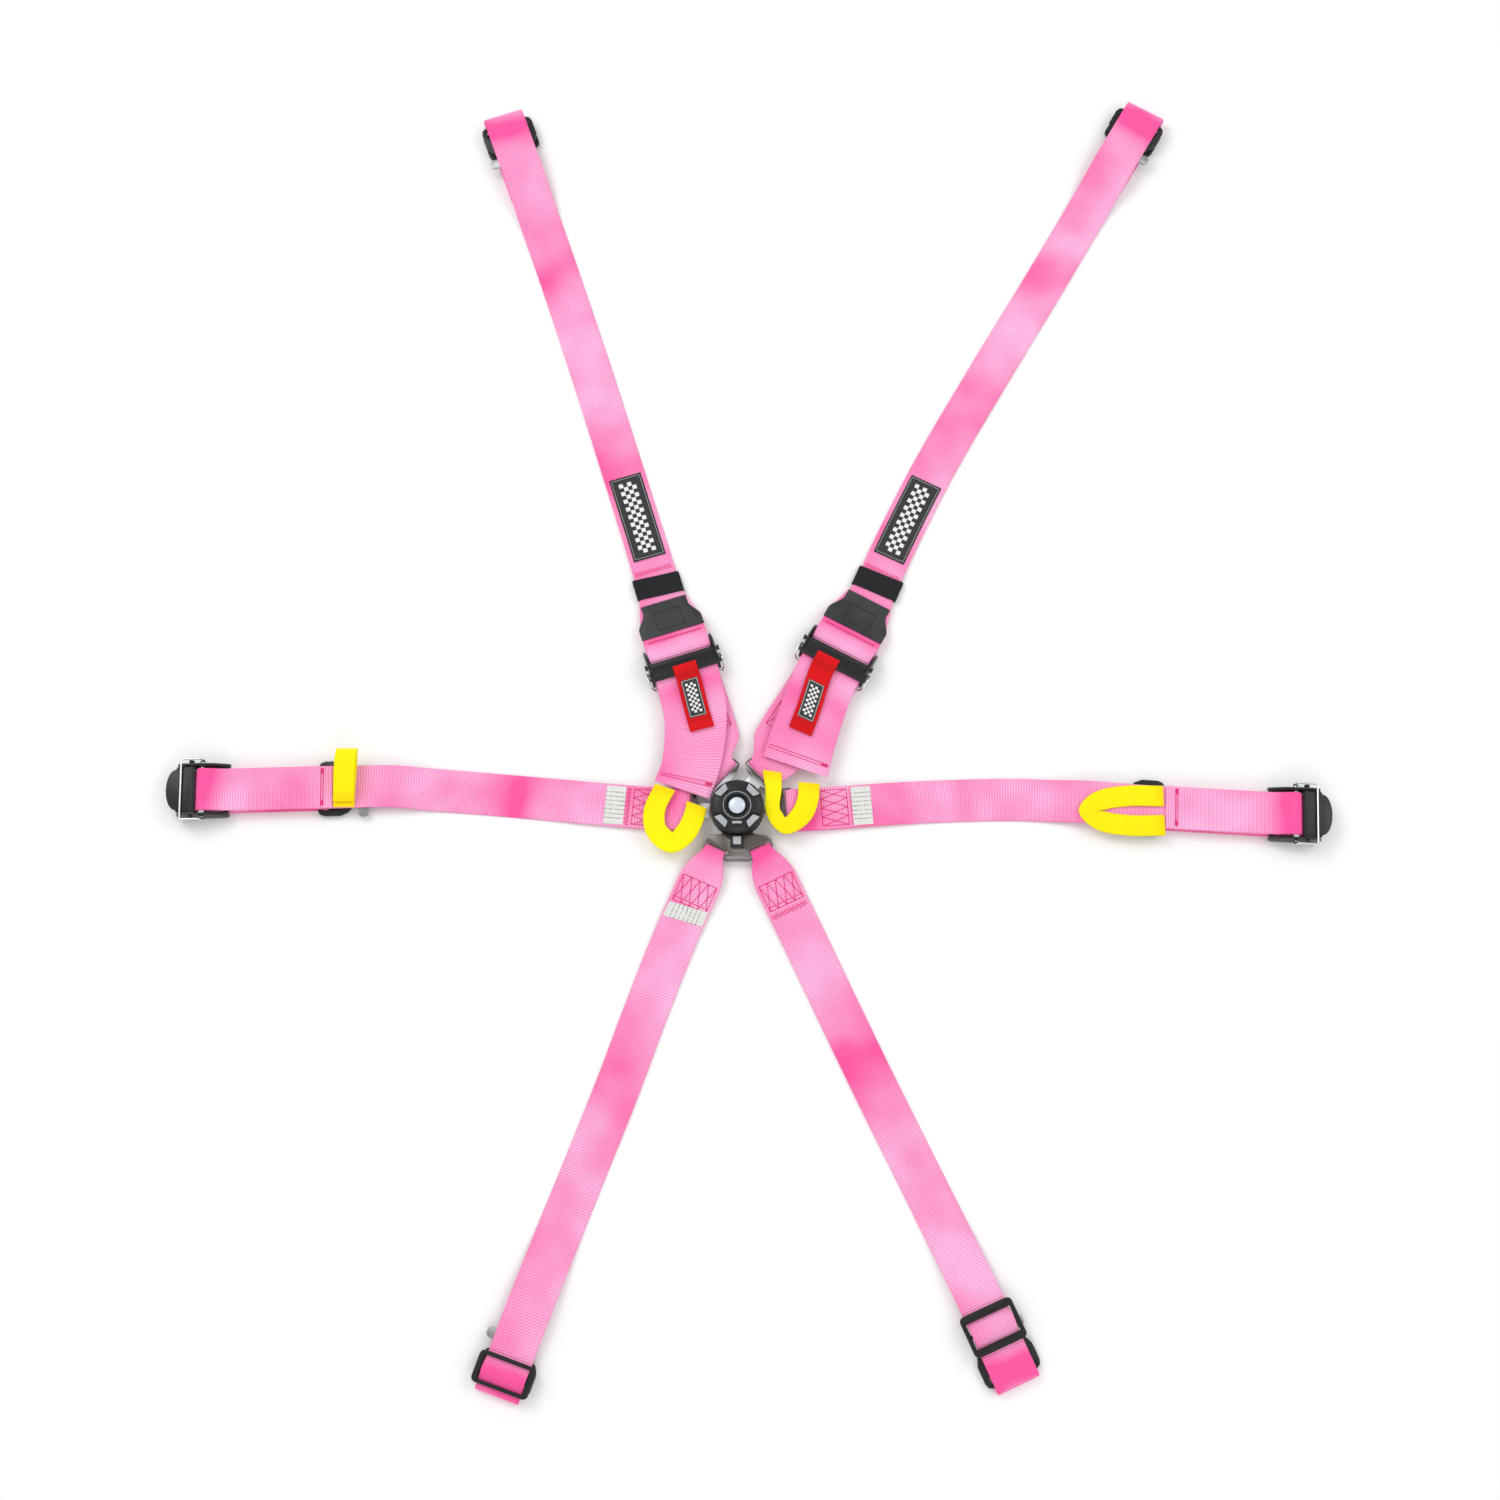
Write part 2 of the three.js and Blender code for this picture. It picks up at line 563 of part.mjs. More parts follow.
function lapAdjuster(side, place) {
  const frame = frameAt(place);
  const outline = [
    [-32, 8], [-28, 1], [26, 1], [28, 4], [28, 18], [24, 22.5], [4, 22.5], [-14, 20], [-32, 13],
  ];
  const rear = crossRod(LAP_REAR_BAR.u, LAP_REAR_BAR.z, LAP_REAR_BAR.radius, LAP_INSIDE + 1);
  const front = box(-31, -26, -LAP_INSIDE - 1, LAP_INSIDE + 1, 10.6, 12.2);
  adjusterFrame(`lap_${side}_adjuster_frame`, frame, LAP_INSIDE, outline, [rear, front], [
    [LAP_ROLLER.u, LAP_ROLLER.z, 2.4], [LAP_LEVER_PIVOT.u, LAP_LEVER_PIVOT.z, 2.4],
  ]);
  roller(`lap_${side}_roller`, frame, LAP_ROLLER.u, LAP_ROLLER.z, LAP_ROLLER.radius, LAP_INSIDE);

  const lip = new THREE.Shape();
  lip.moveTo(7.6, -27.5);
  lip.lineTo(28, -27.5);
  lip.absellipse(30, 0, 11, 24, -Math.PI / 2, Math.PI / 2, false);
  lip.lineTo(28, 27.5);
  lip.lineTo(7.6, 27.5);
  const lipPlate = new THREE.ExtrudeGeometry(lip, { depth: 2.6, bevelEnabled: false, curveSegments: 12 });
  const pivot = crossRod(LAP_LEVER_PIVOT.u, LAP_LEVER_PIVOT.z, 2, LAP_INSIDE + 5, 12);
  addPart(`lap_${side}_lever`, join(lipPlate.translate(0, 0, 17.2), pivot), 'black_steel', frame);
}

function lapBelt(side, route, noseAngle, rollerAt, tailLength, bracketAt, bracketSide, pullPlaces) {
  const name = `lap_${side}`;
  const bar = placeOn(route, 0);
  const adjuster = placeOn(route, rollerAt);
  tongue(`${name}_tongue`, noseAngle, bar, 25.6);
  lapAdjuster(side, adjuster);

  const { u, z, radius } = LAP_ROLLER;
  const wrap = radius + WRAP_GAP + WEB / 2;
  const tailEnd = rollerAt - tailLength;
  const stations = [
    ...tongueLoop(bar, placeOn(route, 70), 49.5, NARROW),
    ...along(route, [[34, 6.5], [70, 4.3], [110, 3.5], [160, FLOOR_WEB], [260, FLOOR_WEB]]),
    ...along(route, [[bracketAt - 130, 3], [bracketAt - 84, 10.3], [bracketAt - 20, 10.5]]),
    ...along(route, [[rollerAt - 70, 10.5]]),
    station(adjuster, u - 36, 8.6, NARROW),
    station(adjuster, u - 20, 8.3, NARROW),
    ...aroundBar(adjuster, u, z, wrap, -90, 90, NARROW),
    station(adjuster, u - 24, 15, NARROW),
    station(adjuster, u - 40, 14.2, NARROW),
    ...along(route, [[rollerAt - 100, 13.9], [tailEnd, 13.9]]),
  ];
  addPart(`${name}_webbing`, ribbon(stations), 'webbing');

  const rear = LAP_REAR_BAR;
  const barWrap = rear.radius + WRAP_GAP + WEB / 2;
  const anchor = [
    ...along(route, [[bracketAt + 60, 5.1], [rollerAt - 30, 5.1]]),
    station(adjuster, u, 5.6, NARROW),
    ...aroundBar(adjuster, rear.u, rear.z, barWrap, 90, -90, NARROW),
    station(adjuster, u, FLOOR_WEB, NARROW),
    ...along(route, [
      [rollerAt - 60, FLOOR_WEB], [bracketAt + 12, FLOOR_WEB], [bracketAt - 1, FLOOR_WEB],
      [bracketAt - 5, 2.4], [bracketAt - 6.6, 4.6], [bracketAt - 5, 6.9], [bracketAt - 1, 7.8],
      [bracketAt + 12, 7.9], [bracketAt + 34, 7.9],
    ]),
  ];
  addPart(`${name}_anchor_webbing`, ribbon(anchor), 'webbing');

  const hook = placeOn(route, bracketAt);
  const inward = { x: hook.x, y: hook.y, heading: hook.heading + 180 };
  bracket(name, inward, 3.1, bracketSide);
  addPart(`${name}_pull_loop`, ribbon(listed(pullPlaces)), 'pull_webbing');
}

// ---------------------------------------------------------------- crotch belts

function crotchBelt(side, route, slideAt, bracketMirrored) {
  const name = `crotch_${side}`;
  const bar = placeOn(route, 0);
  const end = route.length;
  const slidePlace = end - slideAt;
  const middle = TONGUE_Z + STEEL / 2;
  const stations = [
    station(placeOn(route, 62), 0, FLOOR_WEB, 46),
    station(placeOn(route, 34), 0, FLOOR_WEB, 44),
    station(bar, 5, middle - 3.6, 25),
    station(bar, -1.8, middle - 3.2, 25),
    station(bar, -5, middle, 25),
    station(bar, -1.8, middle + 3.2, 25),
    station(bar, 5, middle + 3.4, 26),
    ...along(route, [[17, 9.6]], 42),
    ...along(route, [[36, 6.6], [62, 4.2]]),
    ...along(route, [
      [110, 2.5], [200, FLOOR_WEB], [300, FLOOR_WEB], [end - 190, FLOOR_WEB], [end - 130, 7],
      [end - 98, 10.6],
    ]),
    ...throughSlide(route, slidePlace, CROTCH_SLIDE_Z),
    ...(slideAt > 40 ? along(route, [[end - 28, 9.6]]) : []),
    ...aroundBar(placeOn(route, end), -4, 5.4, 4, 90, -90, NARROW),
    ...along(route, [[end - 20, FLOOR_WEB], [end - 44, FLOOR_WEB]]),
  ];
  addPart(`${name}_webbing`, ribbon(stations), 'webbing');
  slide(`${name}_slide`, placeOn(route, slidePlace), CROTCH_SLIDE_Z, slideAt > 40);
  const back = placeOn(route, end);
  const hookPlace = station(back, -10, 0, 0, 0);
  bracket(name, { x: hookPlace.x, y: hookPlace.y, heading: back.heading + 180 }, 3.1, bracketMirrored);
}

// ---------------------------------------------------------------- assembly

buckle();
tailCover();
crotchPlate();

shoulderBelt('left', SHOULDER_LEFT, SHOULDER_LEFT_ANGLE, 138, 151, 0, {
  tail: [[-55, 144, 107, 14.3, WIDE], [-49, 115, 106, 15, WIDE], [-53, 56, 89, 16.4, 70], [-64, 22, 70, 17, 68]],
  tab: [[-47, 116, 105, 19.4, TAB], [-41, 95, 105, 19.6, TAB]],
  pull: [
    [-84, 25, 70, 17.2, PULL], [-96, -2, 82, 17, PULL], [-94, -26, 108, 17, PULL], [-76, -41, 175, 17, PULL],
    [-60, -30, 235, 17, PULL], [-50, -10, 245, 17, PULL], [-47, 4, 250, 17.2, PULL],
  ],
});
shoulderBelt('right', SHOULDER_RIGHT, SHOULDER_RIGHT_ANGLE, 42, 173, 8, {
  tail: [[102, 154, 61, 14.3, WIDE], [90, 121, 63, 15, WIDE], [77, 82, 68, 16.2, 78], [68, 50, 71, 17, 80]],
  tab: [[83, 116, 64, 19.4, TAB], [74, 92, 66, 19.6, TAB]],
  pull: [
    [41, 44, 81, 17.2, 23], [42.5, 22, 92, 17, 19], [42, -4, 100, 17, 17], [56, -21, 180, 17, 20],
    [75, -8, 240, 17, PULL], [83, 12, 265, 17, PULL], [84, 30, 265, 17.2, PULL],
  ],
});

lapBelt('left', LAP_LEFT, LAP_LEFT_ANGLE, 565, 152, 428, true, [
  [-459, 2, 90, 14, PULL], [-459, 24, 90, 14.2, PULL], [-458, 46, 90, 15.5, PULL], [-457, 62, 90, 21, PULL],
  [-456, 68, 90, 28, PULL], [-456, 60, 90, 34, PULL], [-457, 42, 90, 33, PULL], [-458, 22, 90, 25, PULL],
  [-459, 8, 90, 18, PULL],
]);
lapBelt('right', LAP_RIGHT, LAP_RIGHT_ANGLE, 589, 151, 434, false, [
  [498, 15, 180, 14.2, PULL], [455, 15, 180, 14.2, PULL], [424, 9, 215, 14.2, PULL], [411, -2.5, 270, 14.2, PULL],
  [424, -14, 325, 14.2, PULL], [455, -20, 360, 14.2, PULL], [498, -20, 360, 14.2, PULL],
]);

crotchBelt('left', CROTCH_LEFT, 24, false);
crotchBelt('right', CROTCH_RIGHT, 66, true);

export default group;
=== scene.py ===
"""Looks of the six-point racing harness: webbing, stitching, labels, buckle and hardware finishes.

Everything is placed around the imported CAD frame. Tables of places are in millimetres, as in the
harness drawing, and MM turns them into Blender's metres.
"""

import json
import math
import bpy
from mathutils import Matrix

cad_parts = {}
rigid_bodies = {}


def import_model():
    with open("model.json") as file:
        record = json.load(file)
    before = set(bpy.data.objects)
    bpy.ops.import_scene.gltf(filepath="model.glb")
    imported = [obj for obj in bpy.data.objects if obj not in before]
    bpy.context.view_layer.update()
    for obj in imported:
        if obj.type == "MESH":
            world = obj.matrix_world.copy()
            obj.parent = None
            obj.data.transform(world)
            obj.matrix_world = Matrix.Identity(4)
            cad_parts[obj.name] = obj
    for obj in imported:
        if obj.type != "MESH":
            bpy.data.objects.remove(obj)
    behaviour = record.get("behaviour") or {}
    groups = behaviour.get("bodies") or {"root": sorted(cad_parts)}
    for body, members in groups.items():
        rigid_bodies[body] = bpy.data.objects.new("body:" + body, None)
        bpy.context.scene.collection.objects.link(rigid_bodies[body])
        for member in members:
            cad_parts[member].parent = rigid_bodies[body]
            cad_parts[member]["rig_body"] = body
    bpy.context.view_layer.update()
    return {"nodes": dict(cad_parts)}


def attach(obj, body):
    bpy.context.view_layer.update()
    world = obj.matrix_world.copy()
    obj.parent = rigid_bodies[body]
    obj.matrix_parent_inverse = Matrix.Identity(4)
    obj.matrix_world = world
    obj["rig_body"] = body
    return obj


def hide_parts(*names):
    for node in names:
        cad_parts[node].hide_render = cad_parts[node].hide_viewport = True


bl_info = {
    "name": "Racing harness",
    "version": (1, 0, 0),
    "blender": (4, 5, 0),
    "location": "View3D > Sidebar > Harness",
    "description": "Builds the webbing, stitching, labels, buckle and hardware of a six-point harness",
    "category": "Add Mesh",
}

import bpy
import numpy as np
from mathutils import Matrix, Vector

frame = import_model()

MM = 0.001
WEB = 2.2  # webbing thickness, mm
NARROW = 50.8
WIDE = 76.2
PULL = 25.0
TAB = 29.0
TAB_THICK = 2.0
TAB_LABEL_LENGTH = 0.047  # metres
TAB_LABEL_WIDTH = 0.0205
WRAP_GAP = 0.5
TONGUE_MIDDLE = 8.25
FLOOR_WEB = 1.4
SHOULDER_SLIDE_Z = 3.8
CROTCH_SLIDE_Z = 12.2
SHOULDER_ROLLER = (-12.0, 9.2, 4.0)  # distance from the adjuster's place, height, radius
SHOULDER_REAR_BAR = (5.5, 10.0, 4.0)
LAP_ROLLER = (0.0, 15.0, 4.0)
LAP_REAR_BAR = (20.0, 6.2, 3.0)

SIDES = ("left", "right")

# The line of each belt in plan, from its latch plate outward
LANES = {
    "shoulder_left": [(-19.5, 44), (-67, 187), (-141, 429), (-213, 656), (-300, 908)],
    "shoulder_right": [(31.5, 45), (122, 192), (246, 442), (342, 607), (441, 778), (520, 914)],
    "lap_left": [(-62, -1), (-161, 8), (-284, 20), (-408, 28), (-482, 26), (-626, 22), (-660, 21)],
    "lap_right": [(64, -1), (191, 9), (303, 14), (414, 9), (501, 2), (652, -7), (690, -8)],
    "crotch_left": [(-27, -51), (-48, -97), (-88, -191), (-127, -301), (-208, -510), (-262, -658)],
    "crotch_right": [(28.5, -50), (50, -95), (94, -187), (144, -295), (244, -502), (309, -646)],
}

# Rows of x, y, heading, height, width
SHOULDER = {
    "left": {
        "bar_heading": 138,
        "adjuster": 151,
        "tab_shift": 0,
        "tail": [
            (-55, 144, 107, 14.3, WIDE),
            (-49, 115, 106, 15, WIDE),
            (-53, 56, 89, 16.4, 70),
            (-64, 22, 70, 17, 68),
        ],
        "tab": [(-47, 116, 105, 19.4, TAB), (-41, 95, 105, 19.6, TAB)],
        "pull": [
            (-84, 25, 70, 17.2, PULL),
            (-96, -2, 82, 17, PULL),
            (-94, -26, 108, 17, PULL),
            (-76, -41, 175, 17, PULL),
            (-60, -30, 235, 17, PULL),
            (-50, -10, 245, 17, PULL),
            (-47, 4, 250, 17.2, PULL),
        ],
        "label": ((-122, 366), 0.0),
        "keeper": ((-97, 277), 4.0),
        "taper": (31.0, 74.0),
        "bar_tack": -1,
    },
    "right": {
        "bar_heading": 42,
        "adjuster": 173,
        "tab_shift": 8,
        "tail": [
            (102, 154, 61, 14.3, WIDE),
            (90, 121, 63, 15, WIDE),
            (77, 82, 68, 16.2, 78),
            (68, 50, 71, 17, 80),
        ],
        "tab": [(83, 116, 64, 19.4, TAB), (74, 92, 66, 19.6, TAB)],
        "pull": [
            (41, 44, 81, 17.2, 23),
            (42.5, 22, 92, 17, 19),
            (42, -4, 100, 17, 17),
            (56, -21, 180, 17, 20),
            (75, -8, 240, 17, PULL),
            (83, 12, 265, 17, PULL),
            (84, 30, 265, 17.2, PULL),
        ],
        "label": ((207, 363), 0.0),
        "keeper": ((165, 282), -4.0),
        "taper": (31.0, 76.0),
        "bar_tack": -1,
    },
}

LAP = {
    "left": {
        "roller": 565,
        "tail": 152,
        "bracket": 428,
        "label": (-143, 6),
        "box": (-108, 4),
        "pull": [
            (-459, 2, 90, 14, PULL),
            (-459, 24, 90, 14.2, PULL),
            (-458, 46, 90, 15.5, PULL),
            (-457, 62, 90, 21, PULL),
            (-456, 68, 90, 28, PULL),
            (-456, 60, 90, 34, PULL),
            (-457, 42, 90, 33, PULL),
            (-458, 22, 90, 25, PULL),
            (-459, 8, 90, 18, PULL),
        ],
    },
    "right": {
        "roller": 589,
        "tail": 151,
        "bracket": 434,
        "label": (146, 5),
        "box": (116, 3),
        "pull": [
            (498, 15, 180, 14.2, PULL),
            (455, 15, 180, 14.2, PULL),
            (424, 9, 215, 14.2, PULL),
            (411, -2.5, 270, 14.2, PULL),
            (424, -14, 325, 14.2, PULL),
            (455, -20, 360, 14.2, PULL),
            (498, -20, 360, 14.2, PULL),
        ],
    },
}

CROTCH = {
    "left": {"slide": 24, "box": (-48, -98)},
    "right": {"slide": 66, "box": (50, -95)},
}


# ---------------------------------------------------------------- sizes and colours a user may change


class HarnessSizes(bpy.types.PropertyGroup):
    """Sizes of the fabric's surface and of the sewing"""

    rib_pitch: bpy.props.FloatProperty(
        name="Rib pitch", description="Spacing of the webbing's cross ribs", default=0.0031, unit="LENGTH"
    )
    rib_depth: bpy.props.FloatProperty(
        name="Rib depth", description="Height of a rib over its valley", default=0.00035, unit="LENGTH"
    )
    stitch: bpy.props.FloatProperty(
        name="Stitch", description="Distance from one stitch to the next", default=0.0034, unit="LENGTH"
    )
    thread: bpy.props.FloatProperty(
        name="Thread", description="Radius of the sewing thread", default=0.00052, unit="LENGTH"
    )
    label_length: bpy.props.FloatProperty(
        name="Label length", description="Length of a shoulder label", default=0.110, unit="LENGTH"
    )
    label_width: bpy.props.FloatProperty(
        name="Label width", description="Width of a shoulder label", default=0.040, unit="LENGTH"
    )
    edge: bpy.props.FloatProperty(
        name="Edge radius", description="Rounding of pressed steel edges", default=0.0006, unit="LENGTH"
    )


def colour(name, description, default):
    return bpy.props.FloatVectorProperty(
        name=name, description=description, default=default, subtype="COLOR", size=3, min=0, max=1
    )


class HarnessColours(bpy.types.PropertyGroup):
    """Colours of the harness"""

    # the webbing pink in full light, and below it a darker copy of it used as painted shade in folds, valleys
    # and noise patches
    pink: colour("Webbing", "Pink of the belts in full light", (1.0, 0.52, 0.80))
    shaded_pink: colour("Webbing in folds", "Pink of the belts in folds and valleys", (1.0, 0.10, 0.37))
    thread: colour("Thread", "Magenta sewing thread", (0.86, 0.003, 0.20))
    yellow: colour("Pull loop", "Yellow of the pull loops", (1.0, 0.93, 0.0))
    red: colour("Lever tab", "Red of the lever tabs", (0.80, 0.002, 0.006))
    black: colour("Black fabric", "Labels, keepers and taper patches", (0.012, 0.013, 0.015))
    white: colour("Care label", "White label fabric", (0.80, 0.79, 0.76))
    steel_black: colour("Black steel", "Powder coated hardware", (0.010, 0.010, 0.011))
    nickel: colour("Dark nickel", "Plated latch plates", (0.155, 0.135, 0.125))
    bright: colour("Bright steel", "Polished pins, wires and rings", (0.78, 0.79, 0.81))
    grey: colour("Grey inserts", "Moulded grey inserts", (0.36, 0.38, 0.40))


def sizes():
    return bpy.context.scene.harness_sizes


def colours():
    return bpy.context.scene.harness_colours


# ---------------------------------------------------------------- lanes and bands


class Lane:
    """A belt's line in plan: distances along it give places as (x, y, heading in degrees)"""

    def __init__(self, points, divisions=200):
        known = np.array(points, float)
        last = len(known) - 1
        at = np.linspace(0, last, divisions + 1)
        spans = np.minimum(at.astype(int), last)
        places = [self.between(known, i, t - i, last) for i, t in zip(spans, at)]
        self.points = np.array(places)
        gone = np.linalg.norm(np.diff(self.points, axis=0), axis=1)
        self.reach = np.concatenate([[0], np.cumsum(gone)])
        self.length = self.reach[-1]

    @staticmethod
    def between(known, i, t, last):
        before, start, end, after = (known[min(max(k, 0), last)] for k in (i - 1, i, i + 1, i + 2))
        leave, arrive = (end - before) / 2, (after - start) / 2
        cubic = 2 * start - 2 * end + leave + arrive
        square = -3 * start + 3 * end - 2 * leave - arrive
        return cubic * t**3 + square * t**2 + leave * t + start

    def place(self, along):
        inside = min(max(along, 0.0), self.length)
        step = 0.5
        low, high = max(inside - step, 0.0), min(inside + step, self.length)
        points = [
            np.array([np.interp(s, self.reach, self.points[:, k]) for k in (0, 1)])
            for s in (low, inside, high)
        ]
        tangent = (points[2] - points[0]) / np.linalg.norm(points[2] - points[0])
        spot = points[1] + tangent * (along - inside)
        return spot[0], spot[1], math.degrees(math.atan2(tangent[1], tangent[0]))


def station(place, u, z, width, v=0.0):
    """A row of a band in the frame of a place: u outward, v to the left"""
    x, y, heading = place
    turn = math.radians(heading)
    return (
        x + u * math.cos(turn) - v * math.sin(turn),
        y + u * math.sin(turn) + v * math.cos(turn),
        heading,
        z,
        width,
    )


def along(lane, pairs, width=NARROW):
    return [station(lane.place(s), 0, z, width) for s, z in pairs]


def around_bar(place, u, z, radius, start, end, width):
    rows = []
    for angle in np.radians(np.linspace(start, end, 5)):
        rows.append(station(place, u + radius * math.cos(angle), z + radius * math.sin(angle), width))
    return rows


def through_slide(lane, middle, height):
    wave = [(-15.5, -2.4), (-12.5, -1.5), (-3, 4.5), (0, 5.5), (3, 4.5), (12.5, -1.5), (15.5, -2.4)]
    return along(lane, [(middle + s, height + z) for s, z in wave])


def smooth_route(points, steps):
    """Centripetal curve through the points with `steps` samples to a span"""
    ends = [2 * points[0] - points[1], *points, 2 * points[-1] - points[-2]]
    t = np.linspace(0, 1, steps, endpoint=False)[:, None]
    rows = []
    for a, b, c, d in zip(ends, ends[1:], ends[2:], ends[3:]):
        gap_shade = [math.sqrt(np.linalg.norm(q - p)) for p, q in ((a, b), (b, c), (c, d))]
        leave = ((b - a) / gap_shade[0] - (c - a) / (gap_shade[0] + gap_shade[1]) + (c - b) / gap_shade[1]) * gap_shade[1]
        arrive = ((c - b) / gap_shade[1] - (d - b) / (gap_shade[1] + gap_shade[2]) + (d - c) / gap_shade[2]) * gap_shade[1]
        square = -3 * b + 3 * c - 2 * leave - arrive
        cubic = 2 * b - 2 * c + leave + arrive
        rows.append(b + leave * t + square * t**2 + cubic * t**3)
    rows.append(points[-1:])
    return np.vstack(rows)


def blurred(values, reach):
    """Values averaged over a sliding window of `reach` samples"""
    padded = np.concatenate([np.repeat(values[0], reach), values, np.repeat(values[-1], reach)])
    kernel = np.ones(2 * reach + 1) / (2 * reach + 1)
    return np.convolve(padded, kernel, mode="valid")


class Band:
    """The middle surface of a strap, sampled evenly along its length, in metres"""

    STEP = 0.0009

    def __init__(self, rows):
        table = np.array(rows, float)
        steps = 24
        centre = smooth_route(table[:, [0, 1, 3]] * MM, steps)
        share = np.arange(len(centre)) / steps
        index = np.arange(len(table))
        heading = np.interp(share, index, np.unwrap(np.radians(table[:, 2])))
        width = np.interp(share, index, table[:, 4]) * MM
        gone = np.concatenate([[0], np.cumsum(np.linalg.norm(np.diff(centre, axis=0), axis=1))])
        self.length = gone[-1]
        self.s = np.linspace(0, self.length, max(8, round(self.length / self.STEP)) + 1)
        self.centre = np.column_stack([np.interp(self.s, gone, centre[:, k]) for k in range(3)])
        self.width = blurred(np.interp(self.s, gone, width), 7)
        heading = blurred(np.interp(self.s, gone, heading), 5)
        tangent = np.gradient(self.centre, axis=0)
        tangent /= np.linalg.norm(tangent, axis=1)[:, None]
        self.side = np.column_stack([-np.sin(heading), np.cos(heading), np.zeros(len(heading))])
        normal = np.cross(tangent, self.side)
        self.normal = normal / np.linalg.norm(normal, axis=1)[:, None]

    def pick(self, values, s):
        if values.ndim == 1:
            return np.interp(s, self.s, values)
        return np.column_stack([np.interp(s, self.s, values[:, k]) for k in range(3)])

    def at(self, s, across, lift):
        """Points at distances s along the band, across from its middle and lifted off its mid surface"""
        s, across, lift = (np.atleast_1d(np.asarray(v, float)) for v in (s, across, lift))
        spot = self.pick(self.centre, s)
        return spot + across[:, None] * self.pick(self.side, s) + lift[:, None] * self.pick(self.normal, s)

    def upward(self, s):
        """+1 where the band's normal points up at s, else -1"""
        return 1.0 if self.pick(self.normal[:, 2], s) >= 0 else -1.0

    def find(self, x, y, low=0.0, high=1.0):
        """The distance along the band nearest to a point in plan, within a share of its length"""
        inside = (self.s >= low * self.length) & (self.s <= high * self.length)
        gap = np.hypot(self.centre[:, 0] - x * MM, self.centre[:, 1] - y * MM)
        return self.s[np.argmin(np.where(inside, gap, np.inf))]


# ---------------------------------------------------------------- mesh work


def deselect_all():
    bpy.ops.object.select_all(action="DESELECT")


def activate(obj):
    deselect_all()
    obj.select_set(True)
    bpy.context.view_layer.objects.active = obj


def named(obj, name):
    obj.name = name
    obj.data.name = name
    return obj


def edit(obj, *steps):
    """Runs edit-mode operators on the whole of a mesh; each step is (operator, settings)"""
    activate(obj)
    bpy.ops.object.mode_set(mode="EDIT")
    bpy.ops.mesh.select_all(action="SELECT")
    for operator, settings in steps:
        operator(**settings)
    bpy.ops.object.mode_set(mode="OBJECT")


def apply_modifier(obj, kind, **settings):
    activate(obj)
    modifier = obj.modifiers.new(kind.title(), kind)
    for key, value in settings.items():
        setattr(modifier, key, value)
    bpy.ops.object.modifier_apply(modifier=modifier.name)


def bevelled(obj, width, segments, degrees, **settings):
    """Rounds the edges that turn by more than an angle"""
    apply_modifier(obj, "BEVEL", width=width, segments=segments, limit_method="ANGLE",
                   angle_limit=math.radians(degrees), **settings)


def smooth_by_angle(obj, degrees=35.0):
    activate(obj)
    bpy.ops.object.shade_smooth_by_angle(angle=math.radians(degrees))


def bake_place(obj):
    activate(obj)
    bpy.ops.object.transform_apply(location=True, rotation=True, scale=True)


def set_points(obj, points):
    obj.data.vertices.foreach_set("co", np.asarray(points, np.float32).ravel())
    obj.data.update()


def grid_shares(obj):
    """Each vertex's position on a new unit grid, as two shares from 0 to 1"""
    co = np.zeros(len(obj.data.vertices) * 3, np.float32)
    obj.data.vertices.foreach_get("co", co)
    co = co.reshape(-1, 3).astype(float)
    return co[:, 0] + 0.5, co[:, 1] + 0.5


def store_float(obj, name, values):
    layer = obj.data.attributes.new(name, "FLOAT", "POINT")
    layer.data.foreach_set("value", np.asarray(values, np.float32))


def store_uv(obj, across, distance):
    """UV in metres: x across the fabric, y along it"""
    corners = np.zeros(len(obj.data.loops), np.int32)
    obj.data.loops.foreach_get("vertex_index", corners)
    uv = np.column_stack([across[corners], distance[corners]]).astype(np.float32)
    obj.data.uv_layers.active.data.foreach_set("uv", uv.ravel())


def add_grid(name, columns, rows):
    deselect_all()
    bpy.ops.mesh.primitive_grid_add(x_subdivisions=columns, y_subdivisions=rows, size=1)
    return named(bpy.context.object, name)


def close_tube(obj):
    """Joins the grid's long edges and fills its two ends"""
    edit(
        obj,
        (bpy.ops.mesh.remove_doubles, {"threshold": 1e-6}),
        (bpy.ops.mesh.fill_holes, {"sides": 0}),
        (bpy.ops.mesh.normals_make_consistent, {"inside": False}),
    )


FLAT_CUTS = 8
ROUND_CUTS = 4


def flat_section():
    """Closed outline of a flat band, as rows of (share of flat half width, edge offset, lift)"""
    flat = np.linspace(1, -1, FLAT_CUTS + 1)
    arc = np.linspace(90, 270, ROUND_CUTS + 1)[1:-1]
    rows = [(f, 0.0, 1.0) for f in flat]
    rows += [(-1.0, math.cos(a), math.sin(a)) for a in np.radians(arc)]
    rows += [(f, 0.0, -1.0) for f in flat[::-1]]
    rows += [(1.0, math.cos(a), math.sin(a)) for a in np.radians(arc + 180)]
    return np.array(rows + rows[:1])


